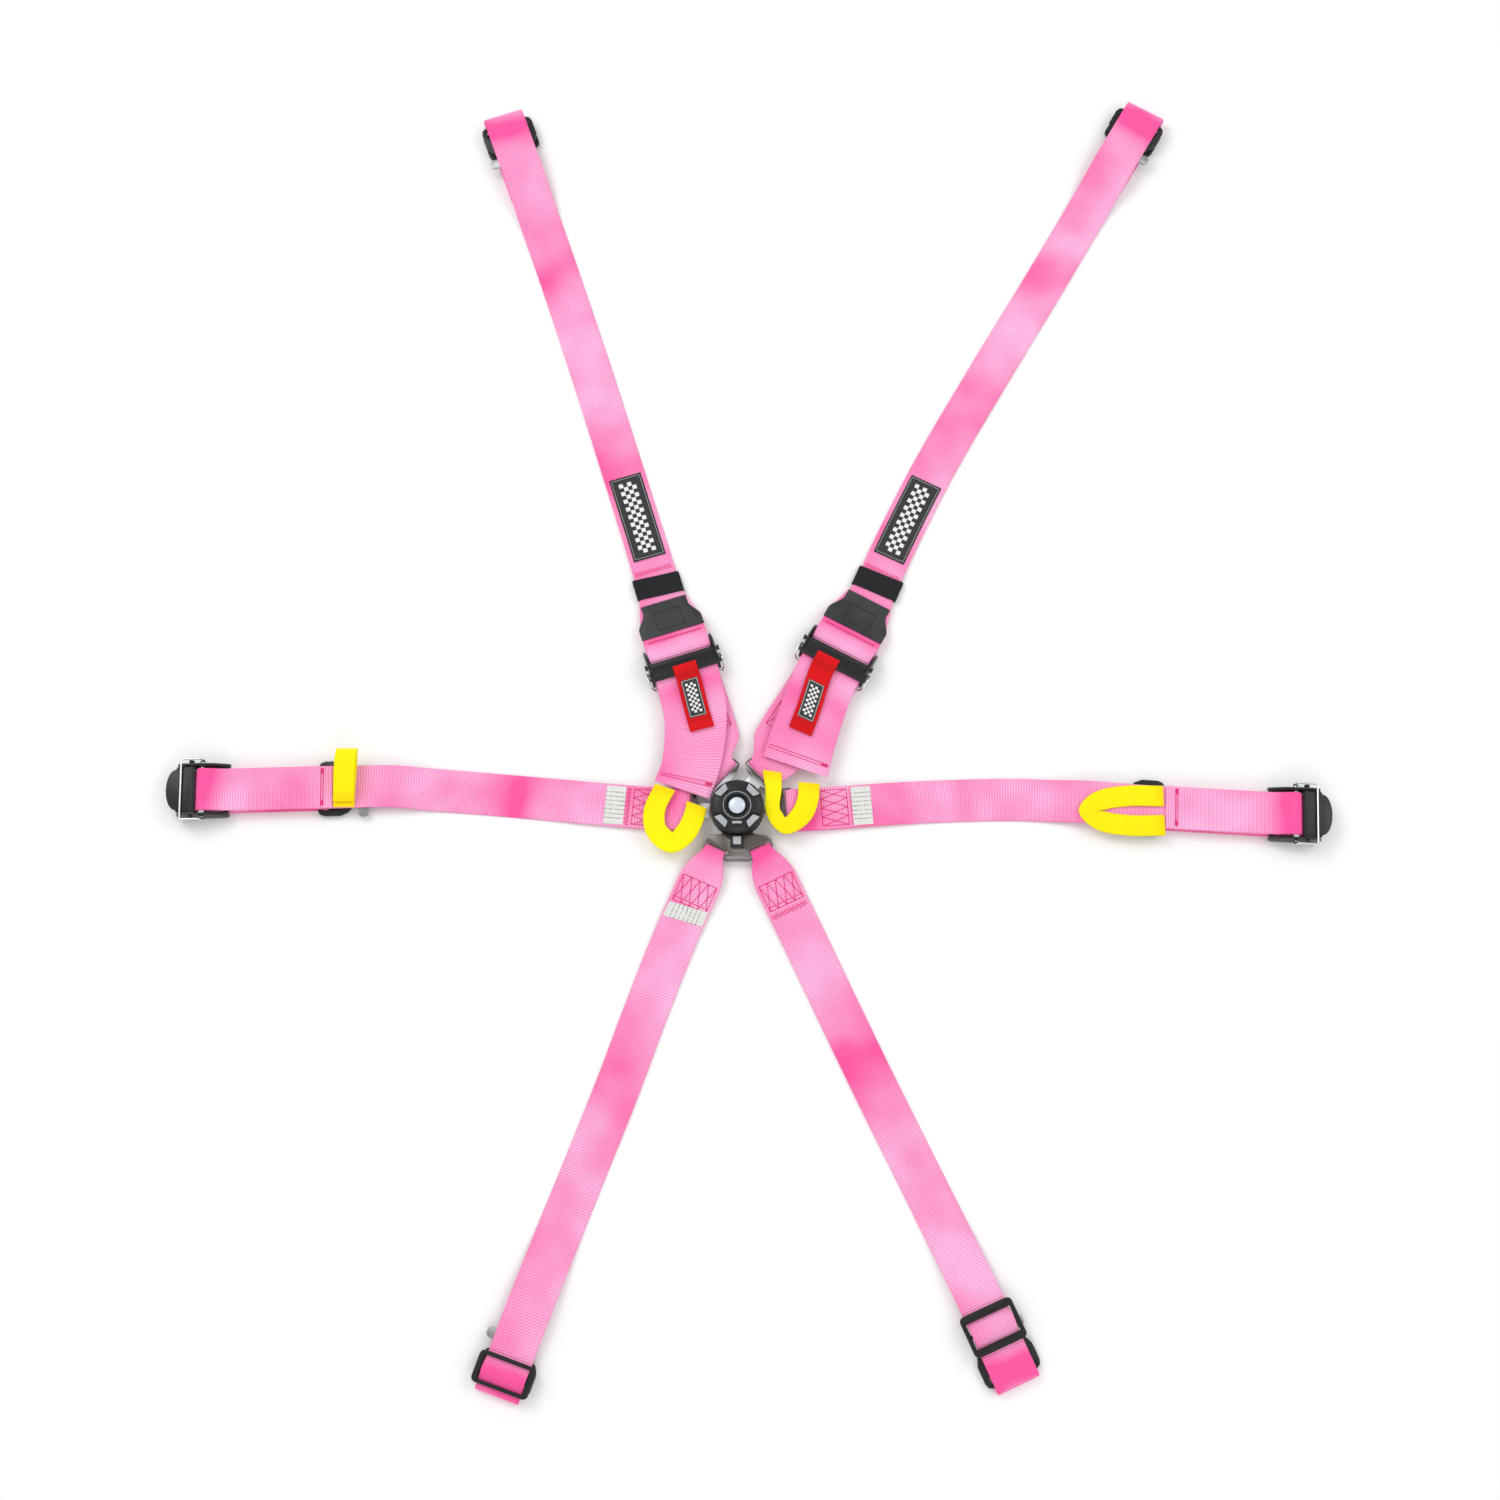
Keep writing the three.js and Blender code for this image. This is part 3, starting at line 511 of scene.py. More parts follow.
def fabric(name, band, thickness, start=0.0, end=None, width=None, shift=0.0, lift=0.0, skew=0.0,
           relief=0.0, step=None, shade=None):
    """A closed band of fabric on a strap's surface, with its ribs as real relief.

    width may be a number or a function of the share from start to end. skew slants its ends.
    """
    end = band.length if end is None else end
    section = flat_section()
    columns = len(section) - 1
    rows = max(2, round((end - start) / (step or Band.STEP)))
    obj = add_grid(name, columns, rows)
    round_share, long_share = grid_shares(obj)
    ring = section[np.clip(np.rint(round_share * columns).astype(int), 0, columns)]
    s = start + long_share * (end - start)
    if width is None:
        whole = band.pick(band.width, s)
    elif callable(width):
        whole = width(long_share)
    else:
        whole = np.full(len(s), float(width))
    half = thickness / 2
    across = ring[:, 0] * (whole / 2 - half) + ring[:, 1] * half
    ribs = relief / 2 * np.cos(2 * np.pi * (s - start) / sizes().rib_pitch)
    flat_part = 1 - np.clip(np.abs(ring[:, 1]), 0, 1)
    rise = lift + ring[:, 2] * (half + ribs * flat_part)
    set_points(obj, band.at(s + across * skew, across + shift, rise))
    store_uv(obj, across, s - start)
    store_float(obj, "rim", whole / 2 - np.abs(across))
    # painted shade per vertex, read by the webbing material
    store_float(obj, "shade", shade(s) if shade else np.zeros(len(s)))
    close_tube(obj)
    smooth_by_angle(obj, 50.0)
    return obj


def prism(name, outline, low, high):
    """A flat plate: a filled circle pulled to an outline in millimetres, then extruded upward"""
    deselect_all()
    bpy.ops.mesh.primitive_circle_add(vertices=len(outline), fill_type="NGON")
    obj = named(bpy.context.object, name)
    set_points(obj, [(x * MM, y * MM, low * MM) for x, y in outline])
    up = {"TRANSFORM_OT_translate": {"value": (0, 0, (high - low) * MM)}}
    edit(
        obj,
        (bpy.ops.mesh.extrude_region_move, up),
        (bpy.ops.mesh.select_all, {"action": "SELECT"}),
        (bpy.ops.mesh.normals_make_consistent, {"inside": False}),
    )
    return obj


def turned(name, profile, steps=96, centre=(0.0, 0.0)):
    """A solid of revolution about an upright axis from a closed profile of (radius, height) in mm"""
    deselect_all()
    bpy.ops.mesh.primitive_circle_add(vertices=len(profile), fill_type="NOTHING")
    obj = named(bpy.context.object, name)
    set_points(obj, [(r * MM, 0, z * MM) for r, z in profile])
    spin = {"steps": steps, "angle": 2 * math.pi, "center": (0, 0, 0), "axis": (0, 0, 1)}
    edit(
        obj,
        (bpy.ops.mesh.spin, spin),
        (bpy.ops.mesh.select_all, {"action": "SELECT"}),
        (bpy.ops.mesh.remove_doubles, {"threshold": 1e-6}),
        (bpy.ops.mesh.dissolve_degenerate, {"threshold": 1e-6}),
        (bpy.ops.mesh.delete_loose, {}),
        (bpy.ops.mesh.select_all, {"action": "SELECT"}),
        (bpy.ops.mesh.normals_make_consistent, {"inside": False}),
    )
    obj.location = (centre[0] * MM, centre[1] * MM, 0)
    bake_place(obj)
    return obj


def wire(name, points, radius, closed=False):
    """A bent round wire through points in millimetres, as a mesh"""
    curve = bpy.data.curves.new(name, "CURVE")
    curve.dimensions = "3D"
    curve.bevel_depth = radius * MM
    curve.bevel_resolution = 3
    curve.use_fill_caps = True
    spline = curve.splines.new("POLY")
    spline.points.add(len(points) - 1)
    for spot, point in zip(spline.points, points):
        spot.co = (point[0] * MM, point[1] * MM, point[2] * MM, 1)
    spline.use_cyclic_u = closed
    obj = bpy.data.objects.new(name, curve)
    bpy.context.scene.collection.objects.link(obj)
    activate(obj)
    bpy.ops.object.convert(target="MESH")
    obj = named(bpy.context.object, name)
    edit(obj, (bpy.ops.mesh.remove_doubles, {"threshold": 1e-6}),
         (bpy.ops.mesh.normals_make_consistent, {"inside": False}))
    smooth_by_angle(obj, 50.0)
    return obj


def rounded(points, radius, cuts=5):
    """A polyline in millimetres with each corner replaced by an arc-like curve"""
    points = [np.array(p, float) for p in points]
    made = [points[0]]
    for before, corner, after in zip(points, points[1:], points[2:]):
        back, on = before - corner, after - corner
        reach = min(radius, np.linalg.norm(back) / 2, np.linalg.norm(on) / 2)
        start = corner + back / np.linalg.norm(back) * reach
        end = corner + on / np.linalg.norm(on) * reach
        for t in np.linspace(0, 1, cuts + 1):
            made.append((1 - t) ** 2 * start + 2 * t * (1 - t) * corner + t**2 * end)
    made.append(points[-1])
    return made


def placed(points, place):
    """Local millimetre points (u, v, z) of an adjuster's frame, in the harness frame"""
    x, y, heading = place
    turn = math.radians(heading)
    cos, sin = math.cos(turn), math.sin(turn)
    return [(x + u * cos - v * sin, y + u * sin + v * cos, z) for u, v, z in points]


def joined(name, objects):
    deselect_all()
    for obj in objects:
        obj.select_set(True)
    bpy.context.view_layer.objects.active = objects[0]
    if len(objects) > 1:
        bpy.ops.object.join()
    return named(bpy.context.object, name)


def moved(obj, place, height=0.0):
    """Turns and places a piece modelled at the origin, and bakes that into its mesh"""
    x, y, heading = place
    obj.matrix_world = Matrix.Translation((x * MM, y * MM, height * MM)) @ Matrix.Rotation(
        math.radians(heading), 4, "Z"
    )
    bake_place(obj)
    return obj


def body_of(node):
    return frame["nodes"][node]["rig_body"]


def finish_piece(obj, material, node=None, body=None, hides=True):
    """Gives a piece its material and slot, rides it on its body and hides the CAD node it stands for"""
    obj.data.materials.clear()
    obj.data.materials.append(material)
    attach(obj, body or body_of(node))
    if node and hides:
        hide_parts(node)
    return obj


def refined(node, material, edge=None, angle=35.0, segments=2):
    """A fine copy of a CAD node: merged, its flat faces cleaned, its edges rounded and shaded"""
    source = frame["nodes"][node]
    obj = bpy.data.objects.new(f"{node}_fine", source.data.copy())
    obj.data.name = obj.name
    bpy.context.scene.collection.objects.link(obj)
    edit(
        obj,
        (bpy.ops.mesh.remove_doubles, {"threshold": 2e-6}),
        (bpy.ops.mesh.dissolve_limited, {"angle_limit": math.radians(0.8)}),
        (bpy.ops.mesh.normals_make_consistent, {"inside": False}),
    )
    edge = sizes().edge if edge is None else edge
    if edge:
        apply_modifier(
            obj, "BEVEL", width=edge, segments=segments, limit_method="ANGLE",
            angle_limit=math.radians(angle), use_clamp_overlap=True,
        )
    smooth_by_angle(obj, angle)
    return finish_piece(obj, material, node)


# ---------------------------------------------------------------- sewing


def stitch_shape():
    """One stitch of unit length and radius, low in faces because it repeats a thousand times"""
    deselect_all()
    bpy.ops.mesh.primitive_uv_sphere_add(segments=6, ring_count=4, radius=1)
    obj = bpy.context.object
    points = np.array([v.co for v in obj.data.vertices])
    faces = [tuple(p.vertices) for p in obj.data.polygons]
    bpy.data.objects.remove(obj)
    turned_points = points[:, [2, 0, 1]]
    turned_points[:, 0] /= 2
    return turned_points, faces


class Sewing:
    """Collects stitches on bands and makes them one mesh"""

    def __init__(self):
        self.rows = []

    def stitch(self, band, start, end, lift):
        middle = (start[0] + end[0]) / 2
        up = band.upward(middle)
        spots = band.at([start[0], end[0]], [start[1], end[1]], [lift * up, lift * up])
        self.rows.append((spots[0], spots[1], band.pick(band.normal, [middle])[0] * up))

    def seam(self, band, path, lift, pitch=None):
        """Stitches along a path of (distance, across) points"""
        pitch = pitch or sizes().stitch
        filled = 0.8  # share of the pitch that the visible thread covers
        for a, b in zip(path, path[1:]):
            a, b = np.array(a), np.array(b)
            count = max(1, round(np.linalg.norm(b - a) / pitch))
            for i in range(count):
                low = a + (b - a) * (i + (1 - filled) / 2) / count
                high = a + (b - a) * (i + (1 + filled) / 2) / count
                self.stitch(band, low, high, lift)

    def teeth(self, band, s, reach, half, pitch, lift):
        """A row of stitches side by side, each lying along the strap: an overcast edge"""
        for i, across in enumerate(np.arange(-half, half + pitch / 2, pitch)):
            long = reach * (1.0 if i % 2 else 0.82)
            self.stitch(band, (s, across), (s + long, across), lift)

    def bar_tack(self, band, s, across, length, width, lift):
        """Dense zigzag at the end of a seam, across the strap"""
        count = 9
        steps = np.linspace(-length / 2, length / 2, count)
        path = [(s + (width / 2 if i % 2 else -width / 2), across + d) for i, d in enumerate(steps)]
        self.seam(band, path, lift, pitch=width * 1.1)

    def diamonds(self, band, low, high, half, lift, inner=2):
        """A sewn box filled with crossing diagonals"""
        self.seam(band, [(low, -half), (high, -half), (high, half), (low, half), (low, -half)], lift)
        fine = np.linspace(-half, half, 2 * inner + 1)
        for phase in (0, 1):
            path = [((low if (i + phase) % 2 else high), across) for i, across in enumerate(fine)]
            self.seam(band, path, lift)

    def mesh(self, name):
        shape, faces = stitch_shape()
        points, polygons = [], []
        radius = sizes().thread
        for start, end, normal in self.rows:
            line = end - start
            length = np.linalg.norm(line)
            forward = line / length
            sideways = np.cross(normal, forward)
            sideways /= np.linalg.norm(sideways)
            upward = np.cross(forward, sideways)
            base = len(points) * len(shape)
            local = (
                shape[:, :1] * forward * (length + radius)
                + shape[:, 1:2] * sideways * radius * 1.15
                + shape[:, 2:] * upward * radius
            )
            points.append((start + end) / 2 + local)
            polygons += [tuple(base + i for i in face) for face in faces]
        mesh = bpy.data.meshes.new(name)
        mesh.from_pydata(np.vstack(points).tolist(), [], polygons)
        mesh.uv_layers.new(name="UVMap")
        obj = bpy.data.objects.new(name, mesh)
        bpy.context.scene.collection.objects.link(obj)
        edit(obj, (bpy.ops.mesh.normals_make_consistent, {"inside": False}))
        smooth_by_angle(obj, 80.0)
        return obj


# ---------------------------------------------------------------- materials


class Recipe:
    """Builds one node material"""

    def __init__(self, name, roughness=0.5, metallic=0.0, **sockets):
        self.made = bpy.data.materials.new(name)
        self.made.use_nodes = True
        self.tree = self.made.node_tree
        self.shader = self.tree.nodes["Principled BSDF"]
        self.set("Roughness", roughness)
        self.set("Metallic", metallic)
        for key, value in sockets.items():
            self.set(key.replace("_", " "), value)

    def set(self, socket, value):
        if hasattr(value, "is_output"):
            self.tree.links.new(value, self.shader.inputs[socket])
        else:
            self.shader.inputs[socket].default_value = value

    def node(self, kind, inputs=None, output=0, **settings):
        node = self.tree.nodes.new(kind)
        for key, value in settings.items():
            setattr(node, key, value)
        for key, value in (inputs or {}).items():
            if hasattr(value, "is_output"):
                self.tree.links.new(value, node.inputs[key])
            else:
                node.inputs[key].default_value = value
        return node.outputs[output]

    def math(self, operation, *values):
        return self.node("ShaderNodeMath", dict(enumerate(values)), operation=operation)

    def object_place(self):
        return self.node("ShaderNodeTexCoord", output="Object")

    def fabric_place(self):
        """Distances across and along the fabric, in metres"""
        uv = self.node("ShaderNodeUVMap", uv_map="UVMap")
        return (self.node("ShaderNodeSeparateXYZ", {0: uv}, output=i) for i in (0, 1))

    def attribute(self, name):
        return self.node("ShaderNodeAttribute", output="Fac", attribute_name=name)

    def noise(self, scale, detail=3.0, place=None, roughness=0.5):
        vector = place or self.object_place()
        inputs = {"Vector": vector, "Scale": scale, "Detail": detail, "Roughness": roughness}
        return self.node("ShaderNodeTexNoise", inputs)

    def span(self, value, low, high, start=0.0, end=1.0):
        return self.node("ShaderNodeMapRange", {0: value, 1: low, 2: high, 3: start, 4: end})

    def wave(self, value, pitch, phase=0.0):
        """Cosine of a distance with the given pitch, from -1 to 1"""
        turned = self.math("MULTIPLY_ADD", value, 2 * math.pi / pitch, phase)
        return self.math("COSINE", turned)

    def mix(self, factor, first, second):
        wide = lambda c: (*c, 1.0) if not hasattr(c, "is_output") and len(c) == 3 else c
        return self.node(
            "ShaderNodeMix", {0: factor, 6: wide(first), 7: wide(second)}, output=2, data_type="RGBA"
        )

    def bump(self, height, distance, strength=1.0):
        inputs = {"Height": height, "Distance": distance, "Strength": strength}
        self.set("Normal", self.node("ShaderNodeBump", inputs))


MADE = {}


def once(builder):
    """Keeps one copy of each material"""

    def get():
        if builder.__name__ not in MADE:
            MADE[builder.__name__] = builder()
        return MADE[builder.__name__]

    return get


def darker(tone, share):
    return tuple(c * share for c in tone)


def ribbed_fabric(name, light, shaded_tone, pitch, valley_shade_share, roughness, sheen):
    """Woven tape: cross ribs, fine warp yarns and dense selvedges, with painted shade in the rib valleys, in
    the yarn gaps and in broad noise patches
    """
    recipe = Recipe(
        name, roughness=roughness, Sheen_Weight=sheen, Sheen_Roughness=0.4, Specular_IOR_Level=0.15
    )
    across, distance = recipe.fabric_place()
    rib = recipe.wave(distance, pitch)
    # painted shade: the rib valleys are coloured darker
    valley_shade = recipe.span(rib, -1.0, -0.35, 1.0, 0.0)
    yarn_pitch = 0.0012
    row = recipe.math("FLOOR", recipe.math("DIVIDE", distance, pitch))
    phase = recipe.math("MULTIPLY", across, 2 * math.pi / yarn_pitch)
    stagger = recipe.math("MULTIPLY_ADD", row, math.pi, phase)
    yarn = recipe.math("COSINE", stagger)
    # broad patches of painted shade from low-frequency noise
    shading_noise = recipe.noise(9.0, detail=2.0)
    fuzz = recipe.noise(900.0, detail=2.0)
    shade = recipe.attribute("shade")
    # painted shade: noise patches plus the strap's shade attribute mix the lit tone towards the darker shaded
    # tone
    depth = recipe.math("ADD", recipe.span(shading_noise, 0.35, 0.68, 0.0, 0.75), shade)
    tone = recipe.mix(recipe.math("MINIMUM", depth, 1.0), light, shaded_tone)
    tone = recipe.mix(recipe.math("MULTIPLY", valley_shade, valley_shade_share), tone, darker(shaded_tone, 0.72))
    # painted shade in the gaps between the warp yarns
    gap_shade = recipe.span(yarn, -1.0, -0.2, 0.16, 0.0)
    tone = recipe.mix(gap_shade, tone, darker(shaded_tone, 0.6))
    selvedge = recipe.span(recipe.attribute("rim"), 0.0, 0.0011, 0.35, 0.0)
    recipe.set("Base Color", recipe.mix(selvedge, tone, darker(shaded_tone, 0.8)))
    height = recipe.math("ADD", recipe.math("MULTIPLY", yarn, 0.35), recipe.math("MULTIPLY", rib, 0.5))
    height = recipe.math("ADD", height, recipe.math("MULTIPLY", fuzz, 0.4))
    recipe.bump(height, 0.00018, 0.9)
    return recipe.made


@once
def pink_webbing():
    tones = colours()
    pitch = sizes().rib_pitch
    return ribbed_fabric("pink_webbing", tones.pink[:], tones.shaded_pink[:], pitch, 0.62, 0.62, 0.15)


@once
def yellow_webbing():
    tone = colours().yellow[:]
    return ribbed_fabric("yellow_webbing", tone, (1.0, 0.72, 0.0), 0.0026, 0.28, 0.6, 0.02)


@once
def red_webbing():
    tone = colours().red[:]
    return ribbed_fabric("red_webbing", tone, darker(tone, 0.72), 0.0016, 0.3, 0.5, 0.0)


@once
def black_tape():
    tone = colours().black[:]
    return ribbed_fabric("black_tape", tuple(c * 1.6 for c in tone), tone, 0.0018, 0.5, 0.7, 0.1)


@once
def sewing_thread():
    recipe = Recipe("sewing_thread", roughness=0.45, Sheen_Weight=0.2)
    twist = recipe.noise(1500.0, detail=1.0)
    tone = colours().thread[:]
    recipe.set("Base Color", recipe.mix(recipe.span(twist, 0.4, 0.6), tone, darker(tone, 0.7)))
    recipe.bump(twist, 0.0001)
    return recipe.made


@once
def black_thread():
    recipe = Recipe("black_thread", roughness=0.4)
    twist = recipe.noise(1500.0, detail=1.0)
    recipe.set("Base Color", recipe.mix(twist, (0.004, 0.004, 0.005), (0.02, 0.02, 0.022)))
    return recipe.made


@once
def grained_leather():
    """Soft black sheet of the taper patches"""
    recipe = Recipe("grained_leather", roughness=0.48)
    tone = colours().black[:]
    cells = recipe.node("ShaderNodeTexVoronoi", {"Vector": recipe.object_place(), "Scale": 900.0})
    worn = recipe.noise(40.0)
    recipe.set("Base Color", recipe.mix(recipe.span(worn, 0.4, 0.7), tone, tuple(c * 2.2 for c in tone)))
    recipe.set("Roughness", recipe.span(worn, 0.3, 0.7, 0.42, 0.6))
    recipe.bump(cells, 0.00015, 0.6)
    return recipe.made


def printed_label(name, length, width, ground, ink, cell, rows):
    """Woven label with a chequered strip down its middle and a thin border"""
    recipe = Recipe(name, roughness=0.6, Sheen_Weight=0.1)
    across, distance = recipe.fabric_place()
    middle = recipe.math("SUBTRACT", distance, length / 2)
    cells = []
    for value in (across, middle):
        cells.append(recipe.math("FLOOR", recipe.math("DIVIDE", value, cell)))
    parity = recipe.math("PINGPONG", recipe.math("ADD", *cells), 1.0)
    far_across = recipe.math("ABSOLUTE", across)
    far_along = recipe.math("ABSOLUTE", middle)
    strip = recipe.math("LESS_THAN", far_across, cell * rows / 2)
    inside = recipe.math("LESS_THAN", far_along, cell * int(length / 2 / cell - 1.4))
    squares = recipe.math("MULTIPLY", parity, recipe.math("MULTIPLY", strip, inside))
    inset = 0.1 * width
    line = 0.00045
    edge = recipe.math(
        "MINIMUM", recipe.math("SUBTRACT", width / 2, far_across),
        recipe.math("SUBTRACT", length / 2, far_along),
    )
    border = recipe.math("COMPARE", edge, inset * 0.55, line)
    mark = recipe.math("MAXIMUM", squares, recipe.math("MULTIPLY", border, 0.5))
    weave = recipe.math("MULTIPLY", recipe.wave(across, 0.0009), recipe.wave(distance, 0.0009))
    tone = recipe.mix(recipe.span(weave, -1, 1, 0.0, 0.5), ground, tuple(c * 1.7 for c in ground))
    recipe.set("Base Color", recipe.mix(mark, tone, ink))
    recipe.bump(recipe.math("ADD", weave, mark), 0.00012, 0.7)
    return recipe.made


@once
def shoulder_label():
    return printed_label(
        "shoulder_label_print", sizes().label_length, sizes().label_width, colours().black[:],
        (0.82, 0.82, 0.80), 0.0052, 4,
    )


@once
def tab_label():
    return printed_label(
        "tab_label_print", TAB_LABEL_LENGTH, TAB_LABEL_WIDTH, colours().black[:],
        (0.82, 0.82, 0.80), 0.0031, 4,
    )


@once
def care_label():
    """White satin label with rows of short grey dashes where the care text would be"""
    recipe = Recipe("care_label_print", roughness=0.5, Sheen_Weight=0.15)
    across, distance = recipe.fabric_place()
    rows = recipe.wave(across, 0.0052)
    row_mask = recipe.math("GREATER_THAN", rows, 0.72)
    stretch = recipe.node("ShaderNodeCombineXYZ", {
        0: recipe.math("MULTIPLY", recipe.math("FLOOR", recipe.math("DIVIDE", across, 0.0052)), 7.3),
        1: recipe.math("MULTIPLY", distance, 420.0),
    })
    words = recipe.node("ShaderNodeTexNoise", {"Vector": stretch, "Scale": 1.0, "Detail": 1.0})
    dashes = recipe.math("MULTIPLY", row_mask, recipe.math("GREATER_THAN", words, 0.46))
    rim = recipe.attribute("rim")
    inside = recipe.math("MULTIPLY", dashes, recipe.math("GREATER_THAN", rim, 0.003))
    ground = recipe.mix(recipe.noise(60.0), colours().white[:], darker(colours().white[:], 0.9))
    recipe.set("Base Color", recipe.mix(recipe.math("MULTIPLY", inside, 0.75), ground, (0.16, 0.16, 0.17)))
    weave = recipe.math("MULTIPLY", recipe.wave(across, 0.0005), recipe.wave(distance, 0.0005))
    recipe.bump(weave, 0.00005)
    return recipe.made


def metal(name, tone, roughness, metallic, scratch=0.12, wear=0.0, worn=(0.5, 0.5, 0.5), coat=0.0):
    """Plated or coated steel: cloudy roughness, hair scratches and rubbed edges"""
    recipe = Recipe(name, roughness=roughness, metallic=metallic, Coat_Weight=coat, Coat_Roughness=0.1)
    recipe.set("Specular IOR Level", 0.25)
    cloud = recipe.noise(45.0, detail=4.0)
    grain = recipe.noise(1200.0, detail=2.0)
    streak_place = recipe.node(
        "ShaderNodeMapping", {"Vector": recipe.object_place(), "Scale": (60.0, 1400.0, 60.0)}
    )
    streaks = recipe.node("ShaderNodeTexNoise", {"Vector": streak_place, "Scale": 1.0, "Detail": 1.0})
    base = recipe.mix(recipe.span(cloud, 0.3, 0.7, 0.0, 0.6), tone, darker(tone, 0.78))
    if wear:
        edge = recipe.node("ShaderNodeNewGeometry", output="Pointiness")
        patchy = recipe.span(grain, 0.4, 0.62, 0.35, 1.0)
        rubbed = recipe.math("MULTIPLY", recipe.span(edge, 0.515, 0.56), patchy)
        base = recipe.mix(recipe.math("MULTIPLY", rubbed, wear), base, worn)
    recipe.set("Base Color", base)
    rough = recipe.math("MULTIPLY_ADD", recipe.span(cloud, 0.3, 0.7, -1.0, 1.0), scratch * 0.5, roughness)
    recipe.set("Roughness", recipe.math("MULTIPLY_ADD", streaks, scratch * 0.5, rough))
    recipe.bump(recipe.math("ADD", recipe.math("MULTIPLY", grain, 0.6), streaks), 0.00003, 0.35)
    return recipe.made


@once
def black_steel():
    return metal("black_steel_coat", colours().steel_black[:], 0.34, 0.0, wear=0.3, worn=(0.09, 0.09, 0.095),
                 coat=0.1)


@once
def dark_nickel():
    return metal("dark_nickel_plate", colours().nickel[:], 0.26, 0.95, wear=0.6, worn=(0.55, 0.52, 0.5))


@once
def bright_steel():
    return metal("bright_steel_polish", colours().bright[:], 0.16, 1.0, scratch=0.08)


@once
def pale_cap():
    """Satin aluminium of the knob's cap"""
    return metal("satin_cap", (0.66, 0.72, 0.80), 0.42, 0.45, scratch=0.06)


@once
def gate_steel():
    return metal("gate_steel_zinc", darker(colours().bright[:], 0.42), 0.36, 0.9, scratch=0.2)


@once
def latch_plate():
    """Latch plate: pale polished neck near the buckle, dark nickel beyond"""
    recipe = Recipe("latch_plate_steel", roughness=0.25, metallic=0.95)
    place = {0: recipe.object_place()}
    reach = recipe.node("ShaderNodeVectorMath", place, output="Value", operation="LENGTH")
    share = recipe.span(reach, 0.040, 0.047)
    cloud = recipe.noise(60.0, detail=4.0)
    dark = recipe.mix(cloud, colours().nickel[:], darker(colours().nickel[:], 0.7))
    pale = recipe.mix(cloud, colours().bright[:], darker(colours().bright[:], 0.85))
    recipe.set("Base Color", recipe.mix(share, pale, dark))
    recipe.set("Roughness", recipe.span(cloud, 0.3, 0.7, 0.18, 0.34))
    recipe.bump(recipe.noise(900.0), 0.00003, 0.3)
    return recipe.made


def moulded(name, tone, roughness, sparkle=1.0):
    """Moulded plastic with a fine spark-eroded grain and slight flow marks"""
    recipe = Recipe(name, roughness=roughness, Specular_IOR_Level=0.3)
    grain = recipe.noise(1600.0, detail=2.0)
    flow = recipe.noise(30.0, detail=3.0)
    recipe.set("Base Color", recipe.mix(recipe.span(flow, 0.3, 0.7), tone, tuple(c * 1.25 for c in tone)))
    gloss = recipe.math("MULTIPLY_ADD", recipe.span(flow, 0.3, 0.7, -1, 1), 0.07, roughness)
    recipe.set("Roughness", gloss)
    recipe.bump(grain, 0.00005 * sparkle, 0.6)
    return recipe.made


@once
def black_plastic():
    return moulded("black_moulding", (0.013, 0.014, 0.015), 0.36)


@once
def grey_plastic():
    return moulded("grey_moulding", colours().grey[:], 0.42, 0.7)


# ---------------------------------------------------------------- routes of the straps


def tongue_loop(bar, following, width, full):
    middle = TONGUE_MIDDLE
    return [
        station(following, 0, FLOOR_WEB, full),
        station(following, -18, FLOOR_WEB, full),
        station(bar, 3, middle - 4, width),
        station(bar, -3, middle - 2.9, width),
        station(bar, -5.6, middle, width),
        station(bar, -3, middle + 2.9, width),
        station(bar, 3, middle + 3.6, width),
    ]


def shoulder_bands(side):
    """Lower webbing, upper webbing, lever tab and pull loop of a shoulder belt, and its adjuster's place"""
    facts = SHOULDER[side]
    lane = Lane(LANES[f"shoulder_{side}"])
    bar = (*lane.place(0)[:2], facts["bar_heading"])
    adjuster = lane.place(facts["adjuster"])
    u, z, radius = SHOULDER_ROLLER
    wrap = radius + WRAP_GAP + WEB / 2
    lower = [
        *tongue_loop(bar, lane.place(60), 42.5, 64),
        station(lane.place(34), 0, 8.5, 71),
        station(lane.place(70), 0, 4.6, WIDE),
        station(lane.place(110), 0, 4.2, WIDE),
        station(adjuster, u - 14, 3.8, WIDE),
        *around_bar(adjuster, u, z, wrap, -90, 90, WIDE),
        station(adjuster, u - 12, z + wrap - 0.3, WIDE),
        *facts["tail"],
    ]
    rear_u, rear_z, rear_radius = SHOULDER_REAR_BAR
    rear_wrap = rear_radius + WRAP_GAP + WEB / 2
    far = facts["adjuster"]
    end = lane.length
    upper = [
        station(adjuster, 52, 2.2, 66),
        station(adjuster, 30, 2.4, WIDE),
        *around_bar(adjuster, rear_u, rear_z, rear_wrap, 270, 90, WIDE),
        station(adjuster, 30, 11, WIDE),
        station(adjuster, 58, 5.5, 68),
        station(adjuster, 88, 5, NARROW),
        *along(lane, [
            (far + 140, 2.5), (far + 260, FLOOR_WEB), (far + 400, FLOOR_WEB), (far + 540, FLOOR_WEB),
            (end - 150, 4), (end - 100, 16), (end - 60, 18.2), (end - 24, 18.2),
        ]),
        *around_bar(lane.place(end), -8.3, 9.9, 8.3, 90, -90, NARROW),
        *through_slide(lane, end - 34.5, SHOULDER_SLIDE_Z)[::-1],
        *along(lane, [(end - 62, 1.6), (end - 112, 1.6)]),
    ]
    shift = facts["tab_shift"]
    tab = [
        station(adjuster, -13, 21.2, TAB, shift),
        station(adjuster, -22, 21.2, TAB, shift),
        station(adjuster, -32, 20.2, TAB, shift),
        *facts["tab"],
    ]
    return Band(lower), Band(upper), Band(tab), Band(facts["pull"]), adjuster


